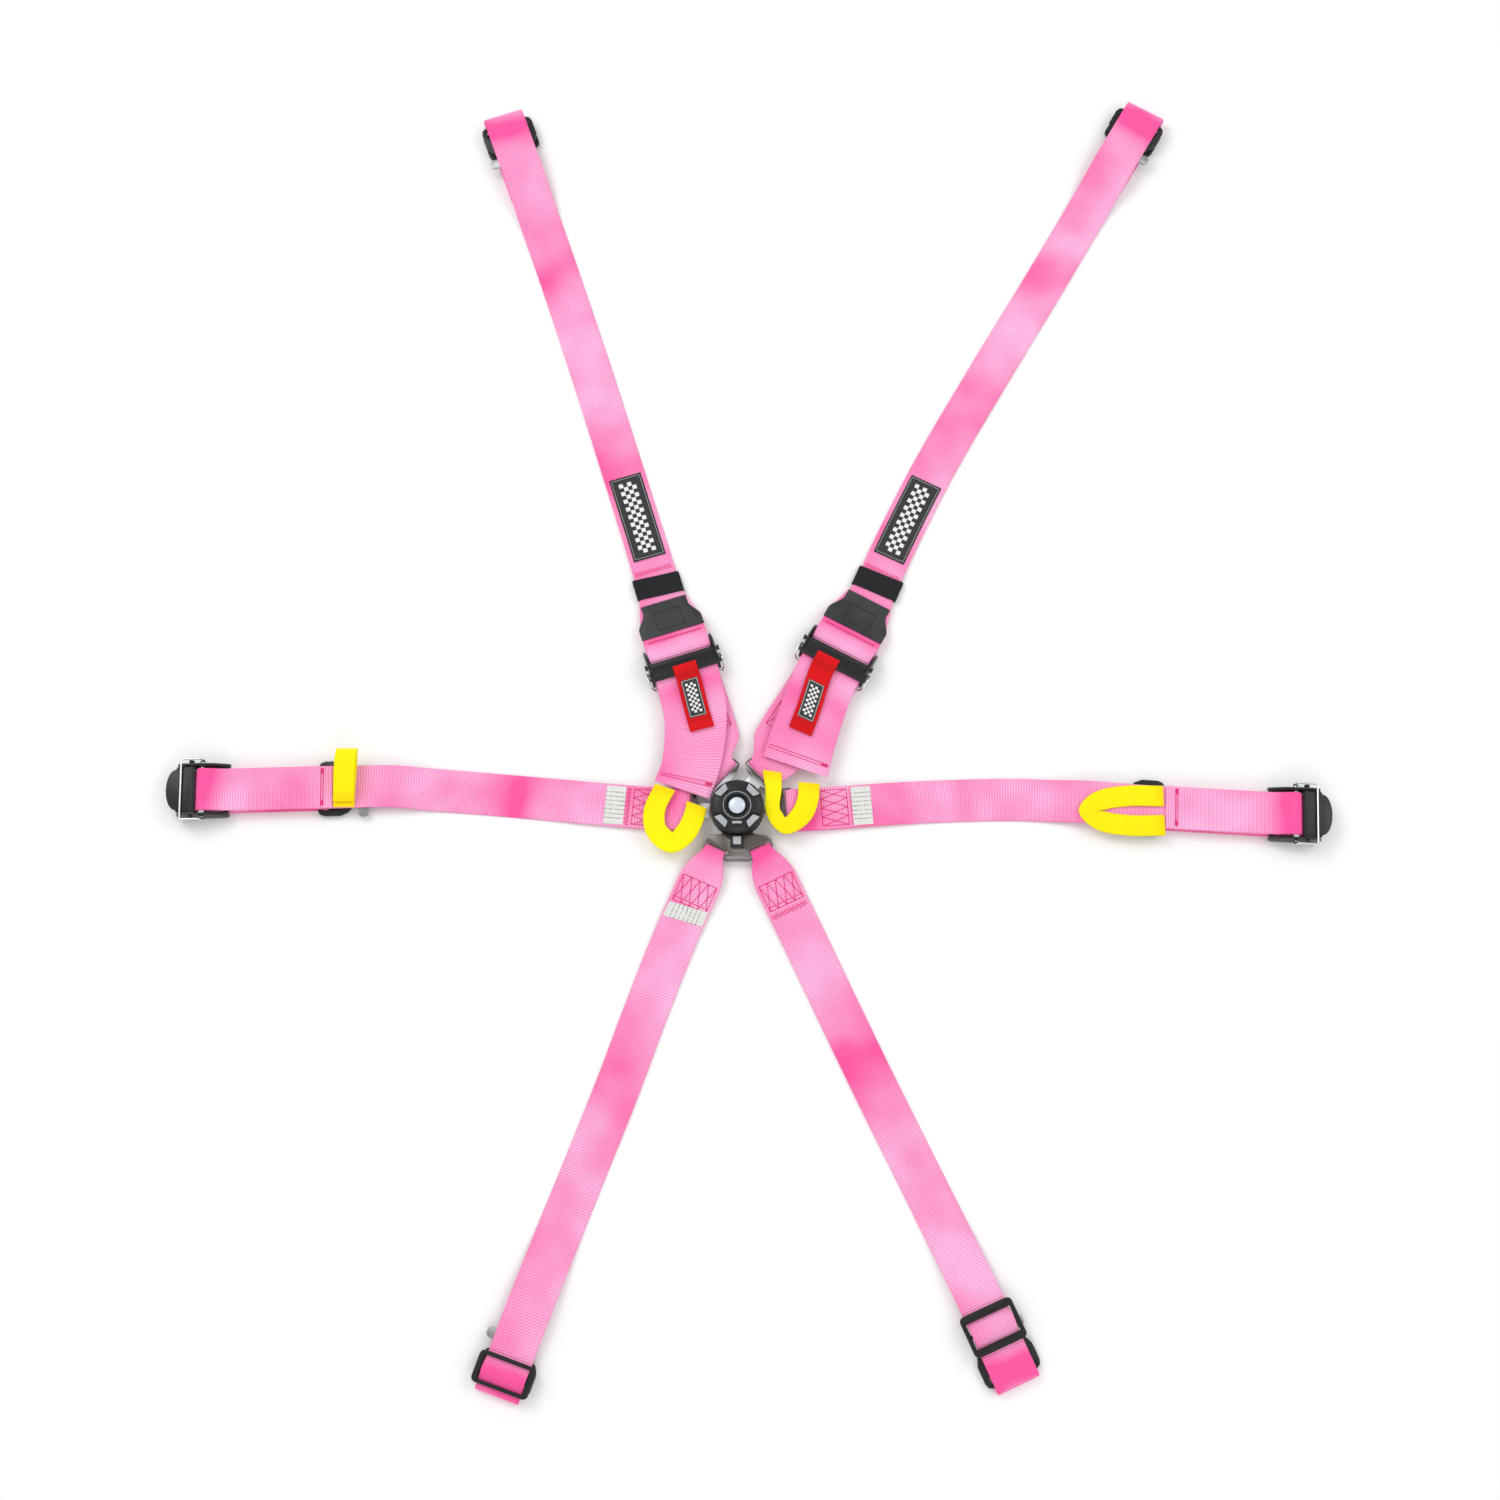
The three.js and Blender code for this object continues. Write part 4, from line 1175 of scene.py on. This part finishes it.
def lap_bands(side):
    """The lap webbing, the anchor webbing and the pull loop of a lap belt, and its adjuster's place"""
    facts = LAP[side]
    lane = Lane(LANES[f"lap_{side}"])
    bar = lane.place(0)
    reach = facts["roller"]
    hook = facts["bracket"]
    adjuster = lane.place(reach)
    u, z, radius = LAP_ROLLER
    wrap = radius + WRAP_GAP + WEB / 2
    webbing = [
        *tongue_loop(bar, lane.place(70), 49.5, NARROW),
        *along(lane, [(34, 6.5), (70, 4.3), (110, 3.5), (160, FLOOR_WEB), (260, FLOOR_WEB)]),
        *along(lane, [(hook - 130, 3), (hook - 84, 10.3), (hook - 20, 10.5), (reach - 70, 10.5)]),
        station(adjuster, u - 36, 8.6, NARROW),
        station(adjuster, u - 20, 8.3, NARROW),
        *around_bar(adjuster, u, z, wrap, -90, 90, NARROW),
        station(adjuster, u - 24, 15, NARROW),
        station(adjuster, u - 40, 14.2, NARROW),
        *along(lane, [(reach - 100, 13.9), (reach - facts["tail"], 13.9)]),
    ]
    rear_u, rear_z, rear_radius = LAP_REAR_BAR
    anchor = [
        *along(lane, [(hook + 60, 5.1), (reach - 30, 5.1)]),
        station(adjuster, u, 5.6, NARROW),
        *around_bar(adjuster, rear_u, rear_z, rear_radius + WRAP_GAP + WEB / 2, 90, -90, NARROW),
        station(adjuster, u, FLOOR_WEB, NARROW),
        *along(lane, [
            (reach - 60, FLOOR_WEB), (hook + 12, FLOOR_WEB), (hook - 1, FLOOR_WEB), (hook - 5, 2.4),
            (hook - 6.6, 4.6), (hook - 5, 6.9), (hook - 1, 7.8), (hook + 12, 7.9), (hook + 34, 7.9),
        ]),
    ]
    return Band(webbing), Band(anchor), Band(facts["pull"]), adjuster


def crotch_band(side):
    lane = Lane(LANES[f"crotch_{side}"])
    bar = lane.place(0)
    end = lane.length
    slide_at = CROTCH[side]["slide"]
    middle = TONGUE_MIDDLE
    rows = [
        station(lane.place(62), 0, FLOOR_WEB, 46),
        station(lane.place(34), 0, FLOOR_WEB, 44),
        station(bar, 5, middle - 3.6, 25),
        station(bar, -1.8, middle - 3.2, 25),
        station(bar, -5, middle, 25),
        station(bar, -1.8, middle + 3.2, 25),
        station(bar, 5, middle + 3.4, 26),
        *along(lane, [(17, 9.6)], 42),
        *along(lane, [(36, 6.6), (62, 4.2)]),
        *along(lane, [
            (110, 2.5), (200, FLOOR_WEB), (300, FLOOR_WEB), (end - 190, FLOOR_WEB), (end - 130, 7),
            (end - 98, 10.6),
        ]),
        *through_slide(lane, end - slide_at, CROTCH_SLIDE_Z),
        *(along(lane, [(end - 28, 9.6)]) if slide_at > 40 else []),
        *around_bar(lane.place(end), -4, 5.4, 4, 90, -90, NARROW),
        *along(lane, [(end - 20, FLOOR_WEB), (end - 44, FLOOR_WEB)]),
    ]
    return Band(rows)


def painted_shade_near(*spans):
    """Painted shade of a strap: darker near each (place, reach, strength) in metres"""

    def shade(s):
        total = np.zeros(len(s))
        for place, reach, strength in spans:
            total += strength * np.exp(-(((s - place) / reach) ** 2))
        return np.clip(total, 0, 1)

    return shade


SEW_LIFT = (WEB / 2 + 0.28) * MM


def strap(name, band, node, finish, shade=None, relief=None, thickness=WEB):
    """One woven strap that stands for its CAD solid"""
    relief = sizes().rib_depth if relief is None else relief
    obj = fabric(name, band, thickness * MM, relief=relief, shade=shade)
    finish_piece(obj, finish, node)
    return obj


# ---------------------------------------------------------------- operators


class HARNESS_OT_stage(bpy.types.Operator):
    """Pale floor, soft studio light and the camera above the buckle"""

    bl_idname = "harness.stage"
    bl_label = "Stage"

    def execute(self, context):
        deselect_all()
        bpy.ops.mesh.primitive_plane_add(size=12, location=(0, 0, -0.0004))
        floor = named(context.object, "floor")
        bake_place(floor)
        recipe = Recipe("floor_paper", roughness=0.9)
        recipe.set("Base Color", recipe.mix(recipe.noise(3.0), (0.90, 0.90, 0.90), (0.93, 0.93, 0.93)))
        floor.data.materials.append(recipe.made)

        world = bpy.data.worlds.new("studio")
        world.use_nodes = True
        world.node_tree.nodes["Background"].inputs["Color"].default_value = (1, 1, 1, 1)
        world.node_tree.nodes["Background"].inputs["Strength"].default_value = 0.78
        context.scene.world = world
        context.scene.view_settings.view_transform = "Standard"

        lamps = {
            "key_light": ((-1.6, 1.5, 2.4), 1.6, 30.0),
            "fill_light": ((1.9, 0.6, 2.0), 1.4, 12.0),
            "front_light": ((0.2, -2.3, 1.6), 1.2, 10.0),
        }
        for name, (spot, size, power) in lamps.items():
            bpy.ops.object.light_add(type="AREA", location=spot)
            lamp = context.object
            lamp.name = name
            lamp.data.size = size
            lamp.data.energy = power
            lamp.rotation_euler = (-Vector(spot)).to_track_quat("-Z", "Y").to_euler()

        bpy.ops.object.camera_add(location=(0.0151, -0.5984, 2.5114), rotation=(math.radians(15), 0, 0))
        camera = context.object
        camera.name = "camera"
        camera.data.lens = 52.8
        camera.data.sensor_width = 36
        context.scene.camera = camera
        return {"FINISHED"}


class HARNESS_OT_shoulder_belts(bpy.types.Operator):
    """Lower and upper webbing of both shoulder belts, with their sewing"""

    bl_idname = "harness.shoulder_belts"
    bl_label = "Shoulder belts"

    def execute(self, context):
        for side in SIDES:
            lower, upper, _, _, adjuster = shoulder_bands(side)
            name = f"shoulder_{side}"
            roll = lower.find(*placed([(-16, 0, 0)], adjuster)[0][:2], 0.3, 0.75)
            shade = painted_shade_near((0.045, 0.03, 0.5), (roll, 0.012, 0.7), (roll + 0.05, 0.014, 0.35))
            strap(f"{name}_lower_strap", lower, f"{name}_lower_webbing", pink_webbing(), shade)
            fold = upper.length - 0.112 - 0.036
            shade = painted_shade_near((0.09, 0.012, 0.6), (fold, 0.02, 0.9), (upper.length * 0.35, 0.05, 0.35),
                              (upper.length * 0.62, 0.03, 0.3))
            strap(f"{name}_upper_strap", upper, f"{name}_upper_webbing", pink_webbing(), shade)
            self.sew(name, side, lower, upper, adjuster)
        return {"FINISHED"}

    def sew(self, name, side, lower, upper, adjuster):
        sewing = Sewing()
        end = lower.length
        half = lower.width[-1] / 2 - 0.003
        for inset in (0.0115, 0.0150):
            sewing.seam(lower, [(end - inset, -half), (end - inset, half)], SEW_LIFT)
        tack = SHOULDER[side]["bar_tack"] * (half - 0.004)
        sewing.bar_tack(lower, end - 0.0132, tack, 0.008, 0.005, SEW_LIFT)
        start = lower.find(*placed([(52, 0, 0)], Lane(LANES[name]).place(0))[0][:2], 0.15, 0.5)
        sewing.diamonds(lower, start, start + 0.034, 0.031, SEW_LIFT)
        ridge = upper.find(*placed([(26, 0, 0)], adjuster)[0][:2], 0.08, 0.5)
        sewing.seam(upper, [(ridge, -0.034), (ridge, 0.034)], SEW_LIFT, pitch=0.0024)
        sewing.teeth(upper, ridge - 0.0026, 0.0042, 0.031, 0.0026, SEW_LIFT)
        above = upper.find(*placed([(112, 0, 0)], adjuster)[0][:2], 0.1, 0.6)
        sewing.teeth(upper, above, 0.007, 0.021, 0.0024, SEW_LIFT)
        finish_piece(sewing.mesh(f"{name}_stitches"), sewing_thread(), body=name)


class HARNESS_OT_lap_belts(bpy.types.Operator):
    """Lap webbing and anchor webbing of both lap belts, with their sewing"""

    bl_idname = "harness.lap_belts"
    bl_label = "Lap belts"

    def execute(self, context):
        for side in SIDES:
            webbing, anchor, _, _ = lap_bands(side)
            name = f"lap_{side}"
            shade = painted_shade_near((0.10, 0.02, 0.5), (webbing.length * 0.34, 0.016, 0.35),
                              (webbing.length - 0.150, 0.02, 0.8))
            strap(f"{name}_strap", webbing, f"{name}_webbing", pink_webbing(), shade)
            # painted shade: the whole anchor strap is coloured darker
            strap(f"{name}_anchor_strap", anchor, f"{name}_anchor_webbing", pink_webbing(),
                  lambda s: np.full(len(s), 0.6))
            sewing = Sewing()
            half = NARROW * MM / 2 - 0.003
            end = webbing.length
            for inset in (0.0105, 0.0130):
                sewing.seam(webbing, [(end - inset, -half), (end - inset, half)], SEW_LIFT, pitch=0.0026)
            for across in (-half + 0.003, half - 0.003):
                sewing.bar_tack(webbing, end - 0.0118, across, 0.006, 0.0052, SEW_LIFT)
            box = webbing.find(*LAP[side]["box"], 0.05, 0.4)
            sewing.diamonds(webbing, box - 0.017, box + 0.014, half - 0.001, SEW_LIFT)
            sewing.teeth(webbing, box + 0.017, 0.006, half - 0.001, 0.0024, SEW_LIFT)
            finish_piece(sewing.mesh(f"{name}_stitches"), sewing_thread(), body=name)
        return {"FINISHED"}


class HARNESS_OT_crotch_belts(bpy.types.Operator):
    """Both crotch straps with their sewn boxes"""

    bl_idname = "harness.crotch_belts"
    bl_label = "Crotch belts"

    def execute(self, context):
        for side in SIDES:
            band = crotch_band(side)
            name = f"crotch_{side}"
            shade = painted_shade_near((0.075, 0.012, 0.4), (band.length * 0.45, 0.05, 0.3),
                              (band.length - 0.065, 0.02, 0.95))
            strap(f"{name}_strap", band, f"{name}_webbing", pink_webbing(), shade)
            sewing = Sewing()
            half = 0.0212
            box = band.find(*CROTCH[side]["box"], 0.05, 0.4)
            sewing.diamonds(band, box - 0.014, box + 0.018, half, SEW_LIFT)
            sewing.seam(band, [(box + 0.0135, -half), (box + 0.0135, half)], SEW_LIFT)
            sewing.teeth(band, box + 0.022, 0.0075, half, 0.0026, SEW_LIFT)
            finish_piece(sewing.mesh(f"{name}_stitches"), sewing_thread(), body="buckle")
        return {"FINISHED"}


class HARNESS_OT_pull_loops(bpy.types.Operator):
    """Yellow pull loops sewn to the four free ends"""

    bl_idname = "harness.pull_loops"
    bl_label = "Pull loops"

    def execute(self, context):
        for belt, bands in (("shoulder", shoulder_bands), ("lap", lap_bands)):
            for side in SIDES:
                band = bands(side)[-2]
                name = f"{belt}_{side}_pull"
                shade = painted_shade_near((0.0, 0.010, 0.8), (band.length, 0.010, 0.8))
                strap(f"{name}_tape", band, f"{name}_loop", yellow_webbing(), shade, 0.0002)
        return {"FINISHED"}


class HARNESS_OT_lever_tabs(bpy.types.Operator):
    """Red tabs on the shoulder levers, each with its label"""

    bl_idname = "harness.lever_tabs"
    bl_label = "Lever tabs"

    def execute(self, context):
        for side in SIDES:
            band = shoulder_bands(side)[2]
            name = f"shoulder_{side}_lever_tab"
            shade = painted_shade_near((0.013, 0.005, 0.8), (band.length - 0.012, 0.0012, 1.0))
            strap(f"{name}_tape", band, name, red_webbing(), shade, 0.0001, TAB_THICK)
            up = band.upward(band.length * 0.7)
            length, width, thickness = TAB_LABEL_LENGTH, TAB_LABEL_WIDTH, 0.0006
            end = band.length - 0.016
            label = fabric(f"{name}_label", band, thickness, end - length, end, width=width,
                           lift=up * (TAB_THICK / 2 * MM + thickness / 2))
            finish_piece(label, tab_label(), body=f"shoulder_{side}_lever")
        return {"FINISHED"}


class HARNESS_OT_labels(bpy.types.Operator):
    """Black shoulder labels and white care labels"""

    bl_idname = "harness.labels"
    bl_label = "Labels"

    def execute(self, context):
        for side in SIDES:
            _, upper, _, _, _ = shoulder_bands(side)
            length, width = sizes().label_length, sizes().label_width
            middle = upper.find(*SHOULDER[side]["label"][0], 0.1, 0.6)
            self.patch(f"shoulder_{side}_label", upper, middle - length / 2, middle + length / 2, width,
                       0.0012, shoulder_label(), f"shoulder_{side}", f"shoulder_{side}_upper_strap",
                       corner=True)
            webbing = lap_bands(side)[0]
            middle = webbing.find(*LAP[side]["label"], 0.05, 0.5)
            self.patch(f"lap_{side}_care_label", webbing, middle - 0.0115, middle + 0.0115, 0.046, 0.0006,
                       care_label(), f"lap_{side}", f"lap_{side}_strap")
        band = crotch_band("left")
        middle = band.find(-64, -121, 0.05, 0.5)
        self.patch("crotch_left_care_label", band, middle - 0.009, middle + 0.009, 0.047, 0.0006,
                   care_label(), "buckle", "crotch_left_strap", skew=-0.12)
        return {"FINISHED"}

    def patch(self, name, band, start, end, width, thickness, finish, body, rests_on, skew=0.0, corner=False):
        up = band.upward((start + end) / 2)
        lift = up * (WEB / 2 * MM + sizes().rib_depth / 2 + thickness / 2)
        label = fabric(name, band, thickness, start, end, width=width, lift=lift, skew=skew)
        finish_piece(label, finish, body=body)
        if corner:
            sewing = Sewing()
            half, inset = width / 2 - 0.0016, 0.0016
            sewing.seam(band, [(start + inset, -half), (end - inset, -half), (end - inset, half),
                               (start + inset, half), (start + inset, -half)],
                        abs(lift) + thickness / 2 + 0.0001, pitch=0.003)
            finish_piece(sewing.mesh(f"{name}_stitches"), black_thread(), body=body)


class HARNESS_OT_patches(bpy.types.Operator):
    """Black taper patches over the change of width, and the elastic keepers above them"""

    bl_idname = "harness.patches"
    bl_label = "Taper patches and keepers"

    def execute(self, context):
        for side in SIDES:
            _, upper, _, _, adjuster = shoulder_bands(side)
            low, high = SHOULDER[side]["taper"]
            start = upper.find(*placed([(low, 0, 0)], adjuster)[0][:2], 0.08, 0.5)
            end = upper.find(*placed([(high, 0, 0)], adjuster)[0][:2], 0.08, 0.5)
            self.taper(f"shoulder_{side}", upper, start, end)
            (x, y), lean = SHOULDER[side]["keeper"]
            self.keeper(f"shoulder_{side}", upper, upper.find(x, y, 0.08, 0.5), lean)
        return {"FINISHED"}

    def taper(self, name, band, start, end):
        wide, narrow = 0.0775, 0.056
        thickness = 0.0016

        def width(share):
            blend = np.clip((share - 0.28) / 0.52, 0, 1)
            eased = blend * blend * (3 - 2 * blend)
            return wide + (narrow - wide) * eased

        up = band.upward((start + end) / 2)
        lift = up * (WEB / 2 * MM + sizes().rib_depth / 2 + thickness / 2)
        patch = fabric(f"{name}_taper_patch", band, thickness, start, end, width=width, lift=lift)
        finish_piece(patch, grained_leather(), body=name)
        sewing = Sewing()
        low, high, half = start + 0.007, start + 0.031, 0.0165
        over = abs(lift) + thickness / 2 + 0.0002
        sewing.seam(band, [(low, -half), (high, -half), (high, half), (low, half), (low, -half)], over, 0.003)
        finish_piece(sewing.mesh(f"{name}_taper_stitches"), black_thread(), body=name)

    def keeper(self, name, band, middle, lean):
        """An elastic band that goes round the strap, a little wider than it"""
        length, gap, wall = 0.026, 0.0006, 0.0012
        half_width = band.pick(band.width, middle) / 2 + 0.0022
        half_height = WEB / 2 * MM + gap
        section = flat_section()
        columns = len(section) - 1
        obj = add_grid(f"{name}_keeper", columns, 18)
        round_share, long_share = grid_shares(obj)
        ring = section[np.clip(np.rint(round_share * columns).astype(int), 0, columns)]
        across = ring[:, 0] * (half_width - half_height) + ring[:, 1] * half_height
        s = middle + (long_share - 0.5) * length
        lean_slope = math.tan(math.radians(lean))
        set_points(obj, band.at(s + across * lean_slope, across, ring[:, 2] * half_height))
        store_uv(obj, s - middle, across)
        store_float(obj, "rim", length / 2 - np.abs(s - middle))
        store_float(obj, "shade", np.zeros(len(s)))
        edit(obj, (bpy.ops.mesh.remove_doubles, {"threshold": 1e-6}),
             (bpy.ops.mesh.normals_make_consistent, {"inside": False}))
        apply_modifier(obj, "SOLIDIFY", thickness=wall, offset=1.0)
        bevelled(obj, 0.0003, 2, 50)
        smooth_by_angle(obj, 50.0)
        finish_piece(obj, black_tape(), body=name)


class HARNESS_OT_knob(bpy.types.Operator):
    """Turning knob with its four-armed star, grey inserts, grey ring and domed cap"""

    bl_idname = "harness.knob"
    bl_label = "Knob"

    def execute(self, context):
        profile = [
            (4.4, 24), (26, 24), (26, 16.6), (30.7, 16.6), (31.4, 17.4), (31.5, 26.5), (31, 28.2),
            (29.4, 30.2),
            (24, 32.4), (17.6, 33), (16.9, 33), (16.5, 32.4), (15.6, 32.4), (15.2, 33), (13.6, 33),
            (12.6, 32), (12.5, 27), (4.4, 27),
        ]
        knob = turned("knob_body", profile, 128)
        cutters = []
        for angle in (45, 135, 225, 315):
            cutters.append(moved(prism(f"pocket_{angle}", self.pocket(), 29.2, 40), (0, 0, angle)))
        cutter = joined("pockets", cutters)
        apply_modifier(knob, "BOOLEAN", operation="DIFFERENCE", object=cutter, solver="EXACT")
        bpy.data.objects.remove(cutter)
        bevelled(knob, 0.0007, 3, 40, use_clamp_overlap=True)
        smooth_by_angle(knob, 40.0)
        finish_piece(knob, black_plastic(), "knob")
        for i, angle in enumerate((45, 135, 225, 315)):
            outline = rounded_loop([(20.9, -5.9), (28.4, -8.9), (28.4, 8.9), (20.9, 5.9)], 1.4)
            insert = prism(f"knob_insert_{i + 1}", outline, 29.0, 31.6)
            bevelled(insert, 0.0005, 3, 50)
            smooth_by_angle(insert, 40.0)
            moved(insert, (0, 0, angle))
            finish_piece(insert, grey_plastic(), body="knob")
        outline = rounded_loop([(-5.6, -22), (5.6, -22), (5.6, -19.2), (-5.6, -19.2)], 0.8)
        bar = prism("knob_index_bar", outline, 32.3, 33.1)
        bevelled(bar, 0.0002, 2, 50)
        smooth_by_angle(bar, 40.0)
        finish_piece(bar, grey_plastic(), body="knob")
        ring = turned("star_ring", [(15.7, 32.0), (16.4, 32.0), (16.4, 32.9), (15.7, 32.9)], 96)
        smooth_by_angle(ring, 50.0)
        finish_piece(ring, grey_plastic(), body="knob")
        dome = [
            (0, 30.0), (9.9, 30.0), (9.9, 31.0), (9.5, 31.7), (8.6, 32.3), (7, 32.9), (4, 33.4), (0, 33.6),
        ]
        cap = turned("cap_dome", dome, 96)
        smooth_by_angle(cap, 50.0)
        finish_piece(cap, pale_cap(), "knob_cap")
        return {"FINISHED"}

    @staticmethod
    def pocket():
        """Outline of the hollow between two arms of the star, along +X"""
        inner = [(18.6 + 1.6 * (1 - math.cos(math.radians(a))) * 2, 9.0 * math.sin(math.radians(a)))
                 for a in (-50, -25, 0, 25, 50)]
        right = [(26.0, -11.2), (29.5, -12.0)]
        return [(36, -13.5), (36, 13.5), (29.5, 12.0), (26.0, 11.2), *inner[::-1], *right]


def rounded_loop(points, radius, cuts=4):
    """A closed outline in millimetres with rounded corners"""
    looped = [points[-1], *points, points[0]]
    made = []
    for before, corner, after in zip(looped, looped[1:], looped[2:]):
        before, corner, after = (np.array(p, float) for p in (before, corner, after))
        start = corner + (before - corner) / np.linalg.norm(before - corner) * radius
        end = corner + (after - corner) / np.linalg.norm(after - corner) * radius
        for t in np.linspace(0, 1, cuts + 1):
            made.append(tuple((1 - t) ** 2 * start + 2 * t * (1 - t) * corner + t**2 * end))
    return made


class HARNESS_OT_buckle(bpy.types.Operator):
    """Buckle housing, back plate, tail cover, button and the pieces inside"""

    bl_idname = "harness.buckle"
    bl_label = "Buckle housing"

    def execute(self, context):
        refined("buckle_housing", black_plastic(), 0.0004)
        refined("buckle_back_plate", black_steel(), 0.0004)
        refined("tail_cover", black_plastic(), 0.0012, segments=3)
        refined("release_button", grey_plastic(), 0.0008, segments=3)
        refined("centre_bolt", bright_steel(), 0.0003)
        refined("latch_carrier", bright_steel(), 0.0)
        refined("cam_ring", bright_steel(), 0.0003)
        refined("return_spring", bright_steel(), 0.0, angle=60.0)
        return {"FINISHED"}


class HARNESS_OT_crotch_plate(bpy.types.Operator):
    """Pressed crotch plate with its raised beads"""

    bl_idname = "harness.crotch_plate"
    bl_label = "Crotch plate"

    def execute(self, context):
        refined("crotch_plate", dark_nickel(), 0.0008, segments=3)
        top = 9.5
        beads = []
        for side in SIDES:
            place = Lane(LANES[f"crotch_{side}"]).place(0)
            corners = [(-3.0, -14.3, top), (-8.6, -14.3, top), (-8.6, 14.3, top), (-3.0, 14.3, top)]
            line = rounded(corners, 3.5)
            beads.append(wire(f"bead_{side}", placed([tuple(p) for p in line], place), 0.9))
        foot = rounded_loop([(-14.2, -60.4), (14.2, -60.4), (14.2, -52.6), (-14.2, -52.6)], 2.6)
        beads.append(wire("bead_foot", [(x, y, top) for x, y in foot], 0.8, closed=True))
        bead = joined("crotch_plate_beads", beads)
        finish_piece(bead, dark_nickel(), body="buckle")
        return {"FINISHED"}


class HARNESS_OT_tongues(bpy.types.Operator):
    """Latch plates of the shoulder and lap belts"""

    bl_idname = "harness.tongues"
    bl_label = "Latch plates"

    def execute(self, context):
        for belt in ("shoulder", "lap"):
            for side in SIDES:
                refined(f"{belt}_{side}_tongue", latch_plate(), 0.0007, segments=3)
        return {"FINISHED"}


class HARNESS_OT_adjusters(bpy.types.Operator):
    """Lift-lever adjusters: frames, rollers, levers, wire bails and pin nuts"""

    bl_idname = "harness.adjusters"
    bl_label = "Adjusters"

    def execute(self, context):
        for belt in ("shoulder", "lap"):
            for side in SIDES:
                name = f"{belt}_{side}"
                refined(f"{name}_adjuster_frame", black_steel(), 0.0006, segments=3)
                refined(f"{name}_roller", bright_steel(), 0.0003)
                refined(f"{name}_lever", black_steel(), 0.0009, segments=3)
                if belt == "shoulder":
                    adjuster = shoulder_bands(side)[-1]
                    self.shoulder_bail(name, adjuster)
                else:
                    adjuster = lap_bands(side)[-1]
                    self.lap_bail(name, adjuster)
        return {"FINISHED"}

    def shoulder_bail(self, name, adjuster):
        out = 46.0
        path = [
            (-12, out, 12.5), (-16, out, 17), (-28.5, out, 17), (-31.5, out - 4, 12),
            (-31.5, -out + 4, 12), (-28.5, -out, 17), (-16, -out, 17), (-12, -out, 12.5),
        ]
        low = 8.6
        path = [(u, v, z if abs(v) >= out else low) for u, v, z in path]
        bail = wire(f"{name}_bail", placed([tuple(p) for p in rounded(path, 2.5)], adjuster), 1.1)
        finish_piece(bail, bright_steel(), body=name)
        self.nuts(name, adjuster, [(-12, 9.2), (-5, 18.5)], 44.5)

    def lap_bail(self, name, adjuster):
        out, height = 36.0, 22.4
        path = [
            (-2, out, 15.0), (1, out, height), (23.5, out, height),
            (23.5, -out, height), (1, -out, height), (-2, -out, 15.0),
        ]
        bail = wire(f"{name}_bail", placed([tuple(p) for p in rounded(path, 2.5)], adjuster), 1.15)
        finish_piece(bail, bright_steel(), body=name)
        self.nuts(name, adjuster, [(0, 15), (12, 18.5)], 33.6)

    def nuts(self, name, adjuster, spots, out):
        """Hexagon nuts on the ends of the cross pins"""
        made = []
        for u, z in spots:
            for sign in (-1, 1):
                deselect_all()
                bpy.ops.mesh.primitive_cylinder_add(vertices=6, radius=3.4 * MM, depth=2.6 * MM)
                nut = bpy.context.object
                nut.matrix_world = Matrix.Translation((u * MM, sign * out * MM, z * MM)) @ Matrix.Rotation(
                    math.pi / 2, 4, "X")
                bake_place(nut)
                made.append(nut)
        nuts = joined(f"{name}_pin_nuts", made)
        bevelled(nuts, 0.0004, 2, 40)
        smooth_by_angle(nuts, 40.0)
        moved(nuts, adjuster)
        finish_piece(nuts, black_steel(), body=name)


class HARNESS_OT_anchors(bpy.types.Operator):
    """Snap-hook brackets with their gates, and the three-bar slides"""

    bl_idname = "harness.anchors"
    bl_label = "Anchors and slides"

    def execute(self, context):
        for belt in ("shoulder", "lap", "crotch"):
            for side in SIDES:
                refined(f"{belt}_{side}_bracket", black_steel(), 0.0007, segments=3)
                refined(f"{belt}_{side}_gate", gate_steel(), 0.0004)
                if belt != "lap":
                    refined(f"{belt}_{side}_slide", black_steel(), 0.0008, segments=3)
        return {"FINISHED"}


PIECES = (
    HARNESS_OT_stage,
    HARNESS_OT_shoulder_belts,
    HARNESS_OT_lap_belts,
    HARNESS_OT_crotch_belts,
    HARNESS_OT_pull_loops,
    HARNESS_OT_lever_tabs,
    HARNESS_OT_labels,
    HARNESS_OT_patches,
    HARNESS_OT_knob,
    HARNESS_OT_buckle,
    HARNESS_OT_crotch_plate,
    HARNESS_OT_tongues,
    HARNESS_OT_adjusters,
    HARNESS_OT_anchors,
)


class HARNESS_PT_pieces(bpy.types.Panel):
    """Lists the operators that build the harness"""

    bl_idname = "HARNESS_PT_pieces"
    bl_label = "Racing harness"
    bl_space_type = "VIEW_3D"
    bl_region_type = "UI"
    bl_category = "Harness"

    def draw(self, context):
        for group in (context.scene.harness_sizes, context.scene.harness_colours):
            box = self.layout.box()
            for key in group.__annotations__:
                box.prop(group, key)
        for piece in PIECES:
            self.layout.operator(piece.bl_idname)


CLASSES = (HarnessSizes, HarnessColours, *PIECES, HARNESS_PT_pieces)


def register():
    for made in CLASSES:
        bpy.utils.register_class(made)
    bpy.types.Scene.harness_sizes = bpy.props.PointerProperty(type=HarnessSizes)
    bpy.types.Scene.harness_colours = bpy.props.PointerProperty(type=HarnessColours)


def unregister():
    del bpy.types.Scene.harness_colours
    del bpy.types.Scene.harness_sizes
    for made in reversed(CLASSES):
        bpy.utils.unregister_class(made)


def main():
    register()
    for piece in PIECES:
        group, name = piece.bl_idname.split(".")
        getattr(getattr(bpy.ops, group), name)()


if __name__ == "__main__":
    main()
